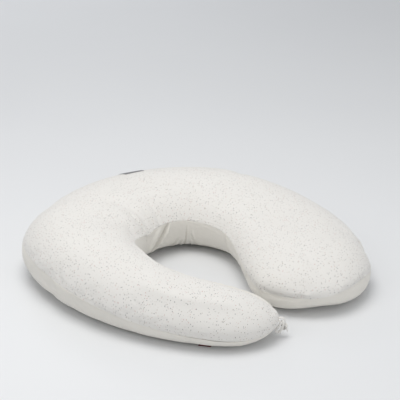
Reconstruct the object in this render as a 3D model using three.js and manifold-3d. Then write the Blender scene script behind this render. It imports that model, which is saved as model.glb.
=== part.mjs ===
// Crescent nursing pillow: a zipped cover of two fabrics over a filled inner cushion.
// Millimetres. It lies flat with the open side towards -Y; +Z is up and the floor is z = 0.
import * as THREE from "three";
import { mergeVertices } from "three/addons/utils/BufferGeometryUtils.js";
import Module from "manifold-3d";

const wasm = await Module();
wasm.setup();

// Plan of the body: centreline of the tube from the left tip, round the back, to the right tip.
const CENTRELINE = [
  [-37, -295],
  [-144, -179],
  [-194, 0],
  [-134, 155],
  [-13, 193],
  [117, 156],
  [185, -20],
  [148, -136],
  [74, -300],
];
// Values at equal steps along the centreline, left tip to right tip.
const INNER_HALF_WIDTH = [75, 52, 110, 115, 119, 115, 123];
const OUTER_HALF_WIDTH = [77, 82, 109, 117, 105, 121, 112];
const LOFT = [76, 104, 121, 128, 126, 107, 93];
const OUTER_SEAM_Z = [13, 39, 64, 58, 58, 64, 61];
const INNER_SEAM_Z = [73, 96, 85, 74, 71, 60, 35];
const TIP_LENGTH = 122; // length over which each arm rounds off
const WIDEST_AT = 0.46; // height of the widest line as a share of the loft
const CROWN_EXPONENT = 2.15; // roundness of the section above the widest line
const BASE_EXPONENT = 2.5; // and below it, where the weight spreads it
const BASE_SINK = 3; // the section is cut off flat this far up, to rest on the floor
const BASE_TIP_FULLNESS = 1.15; // the underside keeps its depth longer than the crown at a tip

// Layers, as depths below the outer face of the cover.
const COVER_THICKNESS = 1.2;
const CASE_DEPTH = 6;
const CASE_THICKNESS = 1;
const FILLING_DEPTH = 12;
const SEAM_HALF_GAP = 0.4;
const THREAD_DEPTH = 2.8;
const THREAD_RADIUS = 0.5;

// Zip, on a level arc in the outer seam at the back.
const ZIP_CENTRE = [-8, -2];
const ZIP_RADIUS = 313;
const ZIP_FROM = THREE.MathUtils.degToRad(42);
const ZIP_TO = THREE.MathUtils.degToRad(116);
const ZIP_MARGIN = 28; // length of edge beyond each zip end that still follows the arc
const ZIP_BLEND = 60; // further length that eases back to the free outline
const ZIP_Z = 57;
const ZIP_HALF_SLOT = 3.6; // half height of the slot between the two cover panels
const TAPE_DEPTH = [3.3, 3.8];
const TAPE_Z = [1, 6];
const COIL_DEPTH = [0.7, 3];
const COIL_Z = [0.6, 2.6];
const SLIDER_LENGTH = 14;
const SLIDER_HALF_WIDTH = 4.5;
const SLIDER_OUTER = [-1.7, -0.4]; // depths: negative is outside the cover
const SLIDER_INNER = [4.1, 4.4];
const SLIDER_POST_HALF = 0.25;
const PULL_LENGTH = 24;
const PULL_WIDTH = 6;
const PULL_THICKNESS = 1;
const PULL_PIVOT_DEPTH = -3.6;
const PULL_PIN_RADIUS = 0.5;
const PULL_EYE_RADIUS = 0.9;
const PULL_EYE_WALL = 0.7;
const PULL_TIP_DROP = 0.3;
const STOP_LENGTH = 3;
const STOP_GAP = 0.4;
const TAPE_OVERRUN = 4; // the tapes run on this far past the coils
const SLIDER_CLEAR = 1.5; // slider's distance from the closed end of the coils
const SLIDER_POST_REACH = 3; // half length of the post between the coils
const CHEEK_REACH = 1.5; // half length of the two lugs that carry the pull's pin
const CHEEK_HEIGHTS = [3.4, 4.5];
const CHEEK_OVERHANG = 0.9; // how far the lugs reach past the pin
const JOINED = 0.2; // overlap between pieces of one casting before they are joined

// Labels and tag: angles on the zip arc, heights above the floor, depths under the cover's face.
const BACK_LABEL = { angles: [75, 87], heights: [113, 123.5], depths: [-1.3, -0.5] };
const CARE_LABEL = { angles: [62, 68], heights: [28, 46], depths: [4.2, 4.6] };
const TAG_AT = 118; // distance along the centreline from the left tip
const TAG_UNDER_Z = 2.2; // the tag starts where the arm's underside is this high
const TAG_Z = 0.7;
const TAG_WIDTH = 22;
const TAG_GAP = 0.3;
const TAG_REACH = 8;
const TAG_THICKNESS = 0.8;

// Tip ties, measured from the tip: out along the arm, aside, and up from the section's middle.
const STRAP_WIDTH = 5;
const STRAP_THICKNESS = 1.6;
const LOOP_WIDTH = 4.4;
const LOOP_THICKNESS = 2.2;
const KNOT_RADII = [5, 4.5, 6];
const TIE_LOOP = [
  [3.6, -7, -1.5],
  [3, -7, -7],
  [0.2, -7, -12.6],
  [-2.9, -7, -18],
  [-1.9, -7, -22.6],
  [2.4, -7, -21.6],
  [5.7, -7, -15.8],
  [8.6, -7, -10.2],
  [8.6, -6.6, -5],
];
const TIE_KNOT = [10.5, 0.5, -15];
const TIE_STEM = [[1.8, 1, 1], [6, 0.8, 2.5], [10.5, 0.6, -2], [11.5, 0.5, -10]];
const TIE_LONG_TAIL = [[9, 0.5, -17], [6.5, 0, -22], [4, -0.5, -28.5]];
const TIE_SHORT_TAIL = [[12, 0.5, -16], [14.5, 1, -19.5], [16.5, 1.5, -24]];

const PRINTED = 0xeae7e1;
const PLAIN = 0xc8c4bc;
const TICKING = 0xf4f3ef;
const FIBRE = 0xfafafa;
const THREAD = 0xe6e3dc;
const TAPE = 0xdedad2;
const NYLON = 0xe9e6df;
const PLATED = 0xc8c8ca;
const GREY_LABEL = 0x6f6f70;
const WHITE_LABEL = 0xffffff;
const RED_TAG = 0x7c1f28;

const ARC_STEPS = 800;
const RINGS = 54;
const PANEL_COLUMNS = 10;
const CASE_RINGS = 36;
const CASE_COLUMNS = 8;
const FILLING_COLUMNS = 16;
const TIP_RING_SHARE = 0.16; // share of the rings spent on each rounded tip
const ZIP_SEGMENTS = 26;
const STRAP_LOOP_STEPS = 22;
const STRAP_STEPS = 6;
const THREAD_STEPS = 130;

const object = new THREE.Group();
object.name = "nursing_pillow";

function addPart(name, geometry, colour, roughness, metalness = 0) {
  const material = new THREE.MeshStandardMaterial({ color: colour, roughness, metalness });
  const mesh = new THREE.Mesh(geometry, material);
  mesh.name = name;
  object.add(mesh);
  return mesh;
}

// Natural cubic spline through the values at the given knots.
function naturalSpline(knots, values) {
  const last = knots.length - 1;
  const bend = new Array(last + 1).fill(0);
  const carry = new Array(last + 1).fill(0);
  const share = new Array(last + 1).fill(0);
  for (let i = 1; i < last; i++) {
    const before = knots[i] - knots[i - 1];
    const after = knots[i + 1] - knots[i];
    const slopes = (values[i + 1] - values[i]) / after - (values[i] - values[i - 1]) / before;
    const pivot = 2 * (before + after) - before * share[i - 1];
    share[i] = after / pivot;
    carry[i] = (6 * slopes - before * carry[i - 1]) / pivot;
  }
  for (let i = last - 1; i > 0; i--) bend[i] = carry[i] - share[i] * bend[i + 1];
  return (t) => {
    let i = 0;
    while (i < last - 1 && t > knots[i + 1]) i++;
    const h = knots[i + 1] - knots[i];
    const a = (knots[i + 1] - t) / h;
    const b = (t - knots[i]) / h;
    const curve = ((a ** 3 - a) * bend[i] + (b ** 3 - b) * bend[i + 1]) * (h * h / 6);
    return a * values[i] + b * values[i + 1] + curve;
  };
}

function evenSpline(values) {
  return naturalSpline(values.map((_, i) => i / (values.length - 1)), values);
}

const innerHalfWidthAt = evenSpline(INNER_HALF_WIDTH);
const outerHalfWidthAt = evenSpline(OUTER_HALF_WIDTH);
const loftAt = evenSpline(LOFT);
const outerSeamAt = evenSpline(OUTER_SEAM_Z);
const innerSeamAt = evenSpline(INNER_SEAM_Z);

// The centreline as a table of points at equal arc lengths.
function measureCentreline() {
  const chords = [0];
  for (let i = 1; i < CENTRELINE.length; i++) {
    const [x0, y0] = CENTRELINE[i - 1];
    const [x1, y1] = CENTRELINE[i];
    chords.push(chords[i - 1] + Math.hypot(x1 - x0, y1 - y0));
  }
  const x = naturalSpline(chords, CENTRELINE.map((p) => p[0]));
  const y = naturalSpline(chords, CENTRELINE.map((p) => p[1]));
  const end = chords[chords.length - 1];
  const points = [];
  for (let i = 0; i <= ARC_STEPS; i++) {
    const t = (end * i) / ARC_STEPS;
    points.push(new THREE.Vector2(x(t), y(t)));
  }
  const lengths = [0];
  for (let i = 1; i <= ARC_STEPS; i++) {
    lengths.push(lengths[i - 1] + points[i].distanceTo(points[i - 1]));
  }
  return { points, lengths, total: lengths[ARC_STEPS] };
}

const line = measureCentreline();

function centreAt(distance) {
  const d = THREE.MathUtils.clamp(distance, 0, line.total);
  let i = 1;
  while (i < ARC_STEPS && line.lengths[i] < d) i++;
  const step = line.lengths[i] - line.lengths[i - 1];
  const mix = (d - line.lengths[i - 1]) / step;
  const point = line.points[i - 1].clone().lerp(line.points[i], mix);
  const ahead = line.points[Math.min(i + 3, ARC_STEPS)];
  const behind = line.points[Math.max(i - 4, 0)];
  const along = ahead.clone().sub(behind).normalize();
  return { point, along, inward: new THREE.Vector2(along.y, -along.x) };
}

// Distance from a centreline point, going outward, to the arc of the zip.
function reachOfZipArc(point, inward) {
  const from = point.clone().sub(new THREE.Vector2(...ZIP_CENTRE));
  const across = -from.dot(inward);
  return -across + Math.sqrt(across * across - from.lengthSq() + ZIP_RADIUS ** 2);
}

function edgeAngle(distance) {
  const { point, inward } = centreAt(distance);
  const edge = point.clone().addScaledVector(inward, -outerHalfWidthAt(distance / line.total));
  return Math.atan2(edge.y - ZIP_CENTRE[1], edge.x - ZIP_CENTRE[0]);
}

// 1 where the outer edge carries the zip, easing to 0 beyond each end.
function zipShare(distance) {
  const angle = edgeAngle(distance);
  const margin = ZIP_MARGIN / ZIP_RADIUS;
  const outside = Math.max(ZIP_FROM - margin - angle, angle - ZIP_TO - margin, 0);
  if (distance < line.total * 0.2 || distance > line.total * 0.85) return 0;
  return 1 - THREE.MathUtils.smoothstep(outside * ZIP_RADIUS, 0, ZIP_BLEND);
}

function tipShare(distance, depth) {
  const length = TIP_LENGTH - depth;
  const fromEnd = Math.min(distance, line.total - distance) - depth;
  const left = THREE.MathUtils.clamp((length - fromEnd) / length, 0, 1);
  return Math.sqrt(1 - left * left);
}

// Everything needed to draw one cross-section of a layer.
function sectionAt(distance, depth) {
  const { point, along, inward } = centreAt(distance);
  const s = distance / line.total;
  const tip = tipShare(distance, depth);
  const loft = loftAt(s);
  const middle = loft * WIDEST_AT;
  const zip = zipShare(distance);
  const freeHalf = outerHalfWidthAt(s);
  const zipHalf = zip > 0 ? reachOfZipArc(point, inward) : freeHalf;
  const outerHalf = THREE.MathUtils.lerp(freeHalf, zipHalf, zip);
  const outerSeam = THREE.MathUtils.lerp(outerSeamAt(s), ZIP_Z, zip);
  return {
    point,
    along,
    inward,
    middle,
    depth,
    zip,
    innerHalf: (innerHalfWidthAt(s) - depth) * tip,
    outerHalf: (outerHalf - depth) * tip,
    rise: (loft - middle - depth) * tip,
    drop: (middle + BASE_SINK - depth) * Math.min(1, tip * BASE_TIP_FULLNESS),
    outerSeam: middle + (outerSeam - middle) * tip,
    innerSeam: middle + (innerSeamAt(s) - middle) * tip,
  };
}

// Angle round the section at which it crosses a height: 0 is the inner side, rising over the crown.
function angleOfHeight(section, height) {
  const up = height - section.middle;
  if (up >= 0) {
    const share = section.rise > 0 ? Math.min(up / section.rise, 1) : 0;
    return Math.asin(share ** (CROWN_EXPONENT / 2));
  }
  const share = section.drop > 0 ? Math.min(-up / section.drop, 1) : 0;
  return -Math.asin(share ** (BASE_EXPONENT / 2));
}

function sectionPoint(section, angle) {
  const cos = Math.cos(angle);
  const sin = Math.sin(angle);
  const exponent = sin >= 0 ? CROWN_EXPONENT : BASE_EXPONENT;
  const across = Math.sign(cos) * Math.abs(cos) ** (2 / exponent);
  const up = Math.sign(sin) * Math.abs(sin) ** (2 / exponent);
  const half = cos >= 0 ? section.innerHalf : section.outerHalf;
  const plan = section.point.clone().addScaledVector(section.inward, half * across);
  const z = section.middle + up * (sin >= 0 ? section.rise : section.drop);
  return new THREE.Vector3(plan.x, plan.y, Math.max(z, section.depth));
}

// Distances of the rings: close together where a tip rounds off, even between.
function ringDistances(count, depth) {
  const tipRings = Math.round(count * TIP_RING_SHARE);
  const length = TIP_LENGTH - depth;
  const distances = [];
  for (let i = 1; i <= tipRings; i++) {
    distances.push(depth + length * (1 - Math.cos((Math.PI / 2) * (i / tipRings))));
  }
  const from = depth + length;
  const to = line.total - from;
  const middleRings = count - 2 * tipRings;
  for (let i = 1; i < middleRings; i++) {
    distances.push(from + ((to - from) * i) / middleRings);
  }
  for (let i = tipRings; i >= 1; i--) {
    distances.push(line.total - depth - length * (1 - Math.cos((Math.PI / 2) * (i / tipRings))));
  }
  return distances;
}

function geometryFrom(points, triangles) {
  let volume = 0;
  const cross = new THREE.Vector3();
  for (const [a, b, c] of triangles) {
    volume += points[a].dot(cross.crossVectors(points[b], points[c]));
  }
  const index = [];
  for (const [a, b, c] of triangles) {
    if (volume > 0) index.push(a, b, c);
    else index.push(a, c, b);
  }
  const geometry = new THREE.BufferGeometry().setFromPoints(points);
  geometry.setIndex(index);
  geometry.computeVertexNormals();
  return geometry;
}

// A closed body round the whole tube, with a pole at each tip.
function closedTube(depth, rings, columns) {
  const points = [];
  const triangles = [];
  const distances = ringDistances(rings, depth);
  const poleAt = (distance) => {
    const section = sectionAt(distance, depth);
    return new THREE.Vector3(section.point.x, section.point.y, section.middle);
  };
  points.push(poleAt(depth));
  for (const distance of distances) {
    const section = sectionAt(distance, depth);
    for (let j = 0; j < columns; j++) {
      points.push(sectionPoint(section, (2 * Math.PI * j) / columns));
    }
  }
  points.push(poleAt(line.total - depth));
  const last = points.length - 1;
  const at = (i, j) => 1 + i * columns + (j % columns);
  for (let j = 0; j < columns; j++) {
    triangles.push([0, at(0, j), at(0, j + 1)]);
    triangles.push([last, at(distances.length - 1, j + 1), at(distances.length - 1, j)]);
  }
  for (let i = 0; i + 1 < distances.length; i++) {
    for (let j = 0; j < columns; j++) {
      triangles.push([at(i, j), at(i + 1, j), at(i + 1, j + 1)]);
      triangles.push([at(i, j), at(i + 1, j + 1), at(i, j + 1)]);
    }
  }
  return geometryFrom(points, triangles);
}

// Share of the way from one seam to the other, with columns closer together near the seams.
function columnShare(j, columns) {
  const even = j / columns;
  return (even + (1 - Math.cos(Math.PI * even)) / 2) / 2;
}

// One skin of a panel between the seams: rows run from tip to tip, columns from seam to seam.
function panelSkin(side, depth, rings, columns, gapAt) {
  const points = [];
  const sign = side === "upper" ? 1 : -1;
  const poleAt = (distance) => {
    const section = sectionAt(distance, depth);
    return new THREE.Vector3(section.point.x, section.point.y, section.middle + sign * SEAM_HALF_GAP);
  };
  points.push(poleAt(depth));
  for (const distance of ringDistances(rings, depth)) {
    const section = sectionAt(distance, depth);
    const gap = sign * gapAt(section);
    const inner = angleOfHeight(section, section.innerSeam + sign * SEAM_HALF_GAP);
    const outer = Math.PI - angleOfHeight(section, section.outerSeam + gap);
    const from = side === "upper" ? inner : 2 * Math.PI + inner;
    for (let j = 0; j <= columns; j++) {
      points.push(sectionPoint(section, THREE.MathUtils.lerp(from, outer, columnShare(j, columns))));
    }
  }
  points.push(poleAt(line.total - depth));
  return points;
}

// A sewn panel as a thin shell, open towards the other panel.
function panelShell(side, depth, thickness, rings, columns, gapAt) {
  const outside = panelSkin(side, depth, rings, columns, gapAt);
  const inside = panelSkin(side, depth + thickness, rings, columns, gapAt);
  const rows = (outside.length - 2) / (columns + 1);
  const count = outside.length;
  const last = count - 1;
  const at = (i, j) => 1 + i * (columns + 1) + j;
  const skin = [];
  for (let j = 0; j < columns; j++) {
    skin.push([0, at(0, j), at(0, j + 1)]);
    skin.push([last, at(rows - 1, j + 1), at(rows - 1, j)]);
  }
  for (let i = 0; i + 1 < rows; i++) {
    for (let j = 0; j < columns; j++) {
      skin.push([at(i, j), at(i + 1, j), at(i + 1, j + 1)]);
      skin.push([at(i, j), at(i + 1, j + 1), at(i, j + 1)]);
    }
  }
  const rim = [0];
  for (let i = 0; i < rows; i++) rim.push(at(i, 0));
  rim.push(last);
  for (let i = rows - 1; i >= 0; i--) rim.push(at(i, columns));
  const triangles = skin.map((t) => t);
  for (const [a, b, c] of skin) triangles.push([a + count, c + count, b + count]);
  for (let k = 0; k < rim.length; k++) {
    const here = rim[k];
    const next = rim[(k + 1) % rim.length];
    triangles.push([next, here, here + count]);
    triangles.push([next, here + count, next + count]);
  }
  return geometryFrom([...outside, ...inside], triangles);
}

// A thin slab from two facing grids of points.
function slab(pointAt, rows, columns) {
  const points = [];
  for (const face of [0, 1]) {
    for (let i = 0; i <= rows; i++) {
      for (let j = 0; j <= columns; j++) points.push(pointAt(i / rows, j / columns, face));
    }
  }
  const count = (rows + 1) * (columns + 1);
  const at = (i, j) => i * (columns + 1) + j;
  const triangles = [];
  for (let i = 0; i < rows; i++) {
    for (let j = 0; j < columns; j++) {
      const corners = [at(i, j), at(i + 1, j), at(i + 1, j + 1), at(i, j + 1)];
      const [a, b, c, d] = corners;
      triangles.push([a, b, c], [a, c, d]);
      triangles.push([a + count, c + count, b + count], [a + count, d + count, c + count]);
    }
  }
  const rim = [];
  for (let i = 0; i < rows; i++) rim.push(at(i, 0));
  for (let j = 0; j < columns; j++) rim.push(at(rows, j));
  for (let i = rows; i > 0; i--) rim.push(at(i, columns));
  for (let j = columns; j > 0; j--) rim.push(at(0, j));
  for (let k = 0; k < rim.length; k++) {
    const here = rim[k];
    const next = rim[(k + 1) % rim.length];
    triangles.push([next, here, here + count], [next, here + count, next + count]);
  }
  return geometryFrom(points, triangles);
}

function solidOf(geometry) {
  const bare = geometry.clone();
  bare.deleteAttribute("normal");
  bare.deleteAttribute("uv");
  const merged = mergeVertices(bare, 1e-4);
  return new wasm.Manifold(
    new wasm.Mesh({
      numProp: 3,
      vertProperties: merged.attributes.position.array,
      triVerts: new Uint32Array(merged.index.array),
    }),
  );
}

function geometryOf(solid) {
  const mesh = solid.getMesh();
  const geometry = new THREE.BufferGeometry();
  geometry.setAttribute("position", new THREE.BufferAttribute(mesh.vertProperties, 3));
  geometry.setIndex(new THREE.BufferAttribute(mesh.triVerts, 1));
  geometry.computeVertexNormals();
  return geometry;
}

function union(...geometries) {
  return geometryOf(geometries.map(solidOf).reduce((a, b) => a.add(b)));
}

// Cover: the printed upper panel and the plain lower panel.
const zipGap = (section) => THREE.MathUtils.lerp(SEAM_HALF_GAP, ZIP_HALF_SLOT, section.zip);
const plainGap = () => SEAM_HALF_GAP;
for (const [name, side, colour] of [
  ["upper_cover", "upper", PRINTED],
  ["lower_cover", "lower", PLAIN],
]) {
  addPart(name, panelShell(side, 0, COVER_THICKNESS, RINGS, PANEL_COLUMNS, zipGap), colour, 0.9);
}

// Inner cushion: two panels of ticking round the filling.
for (const [name, side] of [
  ["inner_case_top", "upper"],
  ["inner_case_bottom", "lower"],
]) {
  const shell = panelShell(side, CASE_DEPTH, CASE_THICKNESS, CASE_RINGS, CASE_COLUMNS, plainGap);
  addPart(name, shell, TICKING, 0.9);
}
addPart("filling", closedTube(FILLING_DEPTH, CASE_RINGS, FILLING_COLUMNS), FIBRE, 1);

// Seam thread: from one end of the zip, round the right tip, the well and the left tip, to the other.
function seamThread() {
  const stops = [];
  const seamPoint = (distance, side) => {
    const section = sectionAt(distance, THREAD_DEPTH);
    const height = side === "outer" ? section.outerSeam : section.innerSeam;
    const angle = angleOfHeight(section, height);
    return sectionPoint(section, side === "outer" ? Math.PI - angle : angle);
  };
  const distances = ringDistances(RINGS, THREAD_DEPTH);
  const free = (d) => zipShare(d) < 0.02;
  const half = line.total / 2;
  for (const d of distances) if (d > half && free(d)) stops.push(seamPoint(d, "outer"));
  for (const d of distances.toReversed()) stops.push(seamPoint(d, "inner"));
  for (const d of distances) if (d < half && free(d)) stops.push(seamPoint(d, "outer"));
  return new THREE.CatmullRomCurve3(stops);
}

function polygonShape(radius, sides) {
  const shape = new THREE.Shape();
  for (let i = 0; i < sides; i++) {
    const angle = (2 * Math.PI * i) / sides;
    const x = radius * Math.cos(angle);
    const y = radius * Math.sin(angle);
    if (i === 0) shape.moveTo(x, y);
    else shape.lineTo(x, y);
  }
  shape.closePath();
  return shape;
}

addPart(
  "seam_thread",
  new THREE.ExtrudeGeometry(polygonShape(THREAD_RADIUS, 4), {
    steps: THREAD_STEPS,
    extrudePath: seamThread(),
  }),
  THREAD,
  0.7,
);

// Zip: every piece is a slice of a ring about the zip's centre.
function ringSlice(depths, heights, from, to, segments) {
  const shape = new THREE.Shape();
  const inner = ZIP_RADIUS - depths[1];
  const outer = ZIP_RADIUS - depths[0];
  shape.absarc(0, 0, outer, from, to, false);
  shape.absarc(0, 0, inner, to, from, true);
  const depth = heights[1] - heights[0];
  const options = { depth, bevelEnabled: false, curveSegments: segments };
  const geometry = new THREE.ExtrudeGeometry(shape, options);
  geometry.translate(ZIP_CENTRE[0], ZIP_CENTRE[1], ZIP_Z + heights[0]);
  return geometry;
}

const tapeFrom = ZIP_FROM - TAPE_OVERRUN / ZIP_RADIUS;
const tapeTo = ZIP_TO + TAPE_OVERRUN / ZIP_RADIUS;
for (const [side, sign] of [
  ["upper", 1],
  ["lower", -1],
]) {
  const band = (heights) => (sign > 0 ? heights : [-heights[1], -heights[0]]);
  const tape = ringSlice(TAPE_DEPTH, band(TAPE_Z), tapeFrom, tapeTo, ZIP_SEGMENTS);
  addPart("zip_tape_" + side, tape, TAPE, 0.85);
  const coil = ringSlice(COIL_DEPTH, band(COIL_Z), ZIP_FROM, ZIP_TO, ZIP_SEGMENTS);
  addPart("zip_coil_" + side, coil, NYLON, 0.45);
}

const stopAngle = STOP_LENGTH / ZIP_RADIUS;
const stopGap = STOP_GAP / ZIP_RADIUS;
const stopHeights = [-COIL_Z[1], COIL_Z[1]];
const stopSlices = {
  zip_stop_closed: [ZIP_FROM - stopGap - stopAngle, ZIP_FROM - stopGap],
  zip_stop_open: [ZIP_TO + stopGap, ZIP_TO + stopGap + stopAngle],
};
for (const [name, [from, to]] of Object.entries(stopSlices)) {
  addPart(name, ringSlice(COIL_DEPTH, stopHeights, from, to, 1), PLATED, 0.35, 0.8);
}

// Slider: two plates joined by a thin post between the coils, and two lugs with a pin for the pull.
const sliderFrom = ZIP_FROM + SLIDER_CLEAR / ZIP_RADIUS;
const sliderTo = sliderFrom + SLIDER_LENGTH / ZIP_RADIUS;
const sliderMiddle = (sliderFrom + sliderTo) / 2;
const plateHeights = [-SLIDER_HALF_WIDTH, SLIDER_HALF_WIDTH];
const postHeights = [-SLIDER_POST_HALF, SLIDER_POST_HALF];
const postReach = SLIDER_POST_REACH / ZIP_RADIUS;
const cheekReach = CHEEK_REACH / ZIP_RADIUS;
const cheekDepths = [PULL_PIVOT_DEPTH - CHEEK_OVERHANG, SLIDER_OUTER[0] + JOINED];
const cheek = (heights) =>
  ringSlice(cheekDepths, heights, sliderMiddle - cheekReach, sliderMiddle + cheekReach, 1);
const pinLength = 2 * (CHEEK_HEIGHTS[0] + JOINED);
const pin = new THREE.CylinderGeometry(PULL_PIN_RADIUS, PULL_PIN_RADIUS, pinLength, 10);
pin.rotateX(Math.PI / 2);
const pivotRadius = ZIP_RADIUS - PULL_PIVOT_DEPTH;
const pivot = new THREE.Vector3(
  ZIP_CENTRE[0] + pivotRadius * Math.cos(sliderMiddle),
  ZIP_CENTRE[1] + pivotRadius * Math.sin(sliderMiddle),
  ZIP_Z,
);
pin.translate(pivot.x, pivot.y, pivot.z);
const slider = union(
  ringSlice(SLIDER_OUTER, plateHeights, sliderFrom, sliderTo, 3),
  ringSlice(
    [SLIDER_OUTER[1] - JOINED, SLIDER_INNER[0] + JOINED],
    postHeights,
    sliderMiddle - postReach,
    sliderMiddle + postReach,
    2,
  ),
  ringSlice(SLIDER_INNER, plateHeights, sliderFrom, sliderTo, 3),
  cheek(CHEEK_HEIGHTS),
  cheek([-CHEEK_HEIGHTS[1], -CHEEK_HEIGHTS[0]]),
  pin,
);
addPart("zip_slider", slider, PLATED, 0.3, 0.9);

// Pull: a flat tab with an eye round the slider's pin, lying along the closed chain.
function zipPull() {
  const outer = PULL_EYE_RADIUS + PULL_EYE_WALL;
  const shape = new THREE.Shape();
  shape.absarc(0, 0, outer, Math.PI / 2, Math.PI * 1.5, false);
  shape.lineTo(PULL_THICKNESS, -outer);
  shape.lineTo(PULL_LENGTH, -PULL_TIP_DROP);
  shape.lineTo(PULL_LENGTH, PULL_THICKNESS - PULL_TIP_DROP);
  shape.lineTo(PULL_THICKNESS * 2, outer / 2);
  const eye = new THREE.Path();
  eye.absarc(0, 0, PULL_EYE_RADIUS, 0, 2 * Math.PI, true);
  shape.holes.push(eye);
  const options = { depth: PULL_WIDTH, bevelEnabled: false, curveSegments: 8 };
  const tab = new THREE.ExtrudeGeometry(shape, options);
  tab.translate(0, 0, -PULL_WIDTH / 2);
  tab.rotateZ(sliderMiddle + Math.PI / 2);
  tab.translate(pivot.x, pivot.y, pivot.z);
  return tab;
}
addPart("zip_pull", zipPull(), PLATED, 0.3, 0.9);

// A patch of cloth lying on a layer of the tube, between two distances and two heights.
function clothPatch({ angles, heights, depths }, rows, columns) {
  const distanceOf = (target) => {
    let low = line.total * 0.25;
    let high = line.total * 0.85;
    for (let k = 0; k < 40; k++) {
      const middle = (low + high) / 2;
      if (edgeAngle(middle) > target) low = middle;
      else high = middle;
    }
    return (low + high) / 2;
  };
  const [from, to] = angles.map((angle) => distanceOf(THREE.MathUtils.degToRad(angle)));
  return slab(
    (u, v, face) => {
      const section = sectionAt(THREE.MathUtils.lerp(from, to, u), depths[face]);
      const height = THREE.MathUtils.lerp(heights[0], heights[1], v);
      return sectionPoint(section, Math.PI - angleOfHeight(section, height));
    },
    rows,
    columns,
  );
}

addPart("back_label", clothPatch(BACK_LABEL, 5, 3), GREY_LABEL, 0.8);
addPart("care_label", clothPatch(CARE_LABEL, 4, 3), WHITE_LABEL, 0.6);

// Small tag that lies on the floor and peeps out from under the outer edge of the left arm.
function edgeTag() {
  const section = sectionAt(TAG_AT, 0);
  const root = sectionPoint(section, Math.PI - angleOfHeight(section, TAG_UNDER_Z)).setZ(TAG_Z);
  const along = new THREE.Vector3(section.along.x, section.along.y, 0);
  const outward = new THREE.Vector3(-section.inward.x, -section.inward.y, 0);
  return slab(
    (u, v, face) =>
      root
        .clone()
        .addScaledVector(along, (u - 0.5) * TAG_WIDTH)
        .addScaledVector(outward, TAG_GAP + v * TAG_REACH)
        .add(new THREE.Vector3(0, 0, (face - 0.5) * TAG_THICKNESS)),
    2,
    2,
  );
}
addPart("edge_tag", edgeTag(), RED_TAG, 0.8);

// At the left tip a narrow fabric loop, and a strap knotted beside it.
function strap(points, steps, inBend = STRAP_THICKNESS, acrossBend = STRAP_WIDTH) {
  const shape = new THREE.Shape();
  shape.moveTo(-inBend / 2, -acrossBend / 2);
  shape.lineTo(inBend / 2, -acrossBend / 2);
  shape.lineTo(inBend / 2, acrossBend / 2);
  shape.lineTo(-inBend / 2, acrossBend / 2);
  shape.closePath();
  const path = new THREE.CatmullRomCurve3(points);
  return new THREE.ExtrudeGeometry(shape, { steps, extrudePath: path });
}

function tipTies() {
  const section = sectionAt(0, 0);
  const ahead = new THREE.Vector3(-section.along.x, -section.along.y, 0);
  const across = new THREE.Vector3(-ahead.y, ahead.x, 0);
  const root = new THREE.Vector3(section.point.x, section.point.y, section.middle);
  const at = ([out, aside, up]) =>
    root
      .clone()
      .addScaledVector(ahead, out)
      .addScaledVector(across, aside)
      .add(new THREE.Vector3(0, 0, up));
  const loop = strap(TIE_LOOP.map(at), STRAP_LOOP_STEPS, LOOP_WIDTH, LOOP_THICKNESS);
  addPart("tip_loop", loop, PRINTED, 0.9);
  const knot = new THREE.SphereGeometry(1, 10, 8);
  knot.scale(...KNOT_RADII);
  knot.translate(...at(TIE_KNOT).toArray());
  const straps = [TIE_STEM, TIE_LONG_TAIL, TIE_SHORT_TAIL].map((way) => strap(way.map(at), STRAP_STEPS));
  addPart("tip_tie", union(knot, ...straps), PRINTED, 0.9);
}
tipTies();

// Put the origin at the middle of the footprint, on the floor.
const bounds = new THREE.Box3().setFromObject(object);
const middle = bounds.getCenter(new THREE.Vector3());
for (const mesh of object.children) mesh.geometry.translate(-middle.x, -middle.y, 0);

export default object;
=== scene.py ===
"""Nursing pillow: cloth-simulated cover panels, seams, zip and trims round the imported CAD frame."""

import math

import bmesh
import bpy
import numpy as np
from mathutils import Euler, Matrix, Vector


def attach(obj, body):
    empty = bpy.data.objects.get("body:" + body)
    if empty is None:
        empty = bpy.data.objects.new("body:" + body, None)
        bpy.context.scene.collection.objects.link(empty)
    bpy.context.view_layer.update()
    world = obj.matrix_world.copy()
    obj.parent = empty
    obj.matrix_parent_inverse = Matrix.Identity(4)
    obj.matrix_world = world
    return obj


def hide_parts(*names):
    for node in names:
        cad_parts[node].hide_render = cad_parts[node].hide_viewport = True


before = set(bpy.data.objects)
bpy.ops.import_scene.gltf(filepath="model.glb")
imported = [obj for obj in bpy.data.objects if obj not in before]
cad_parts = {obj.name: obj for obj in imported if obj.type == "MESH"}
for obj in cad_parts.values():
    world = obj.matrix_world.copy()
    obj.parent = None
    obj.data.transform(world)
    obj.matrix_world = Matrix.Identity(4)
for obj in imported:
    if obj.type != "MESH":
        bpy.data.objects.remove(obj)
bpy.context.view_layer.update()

MM = 0.001  # lengths below are in millimetres unless a comment says otherwise

# ---- small helpers


def add_object(name, data):
    """A new object in the scene."""
    obj = bpy.data.objects.new(name, data)
    bpy.context.scene.collection.objects.link(obj)
    return obj


def smoothstep(x, low, high):
    t = np.clip((x - low) / (high - low), 0, 1)
    return t * t * (3 - 2 * t)


def mix(a, b, t):
    return a + (b - a) * t


def bell(x, reach):
    return np.exp(-((x / reach) ** 2))


def signed_power(x, power):
    return np.sign(x) * np.abs(x) ** power


def unit(vectors):
    """The vectors at length 1."""
    return vectors / np.maximum(np.linalg.norm(vectors, axis=-1, keepdims=True), 1e-9)


def run_lengths(path):
    """Length along a path at each of its points."""
    return np.concatenate([[0], np.cumsum(np.linalg.norm(np.diff(path, axis=0), axis=1))])


def lookup(at, lengths, rows):
    """Rows of values interpolated at lengths along a path."""
    return np.stack([np.interp(at, lengths, column) for column in rows.T], axis=-1)


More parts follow.
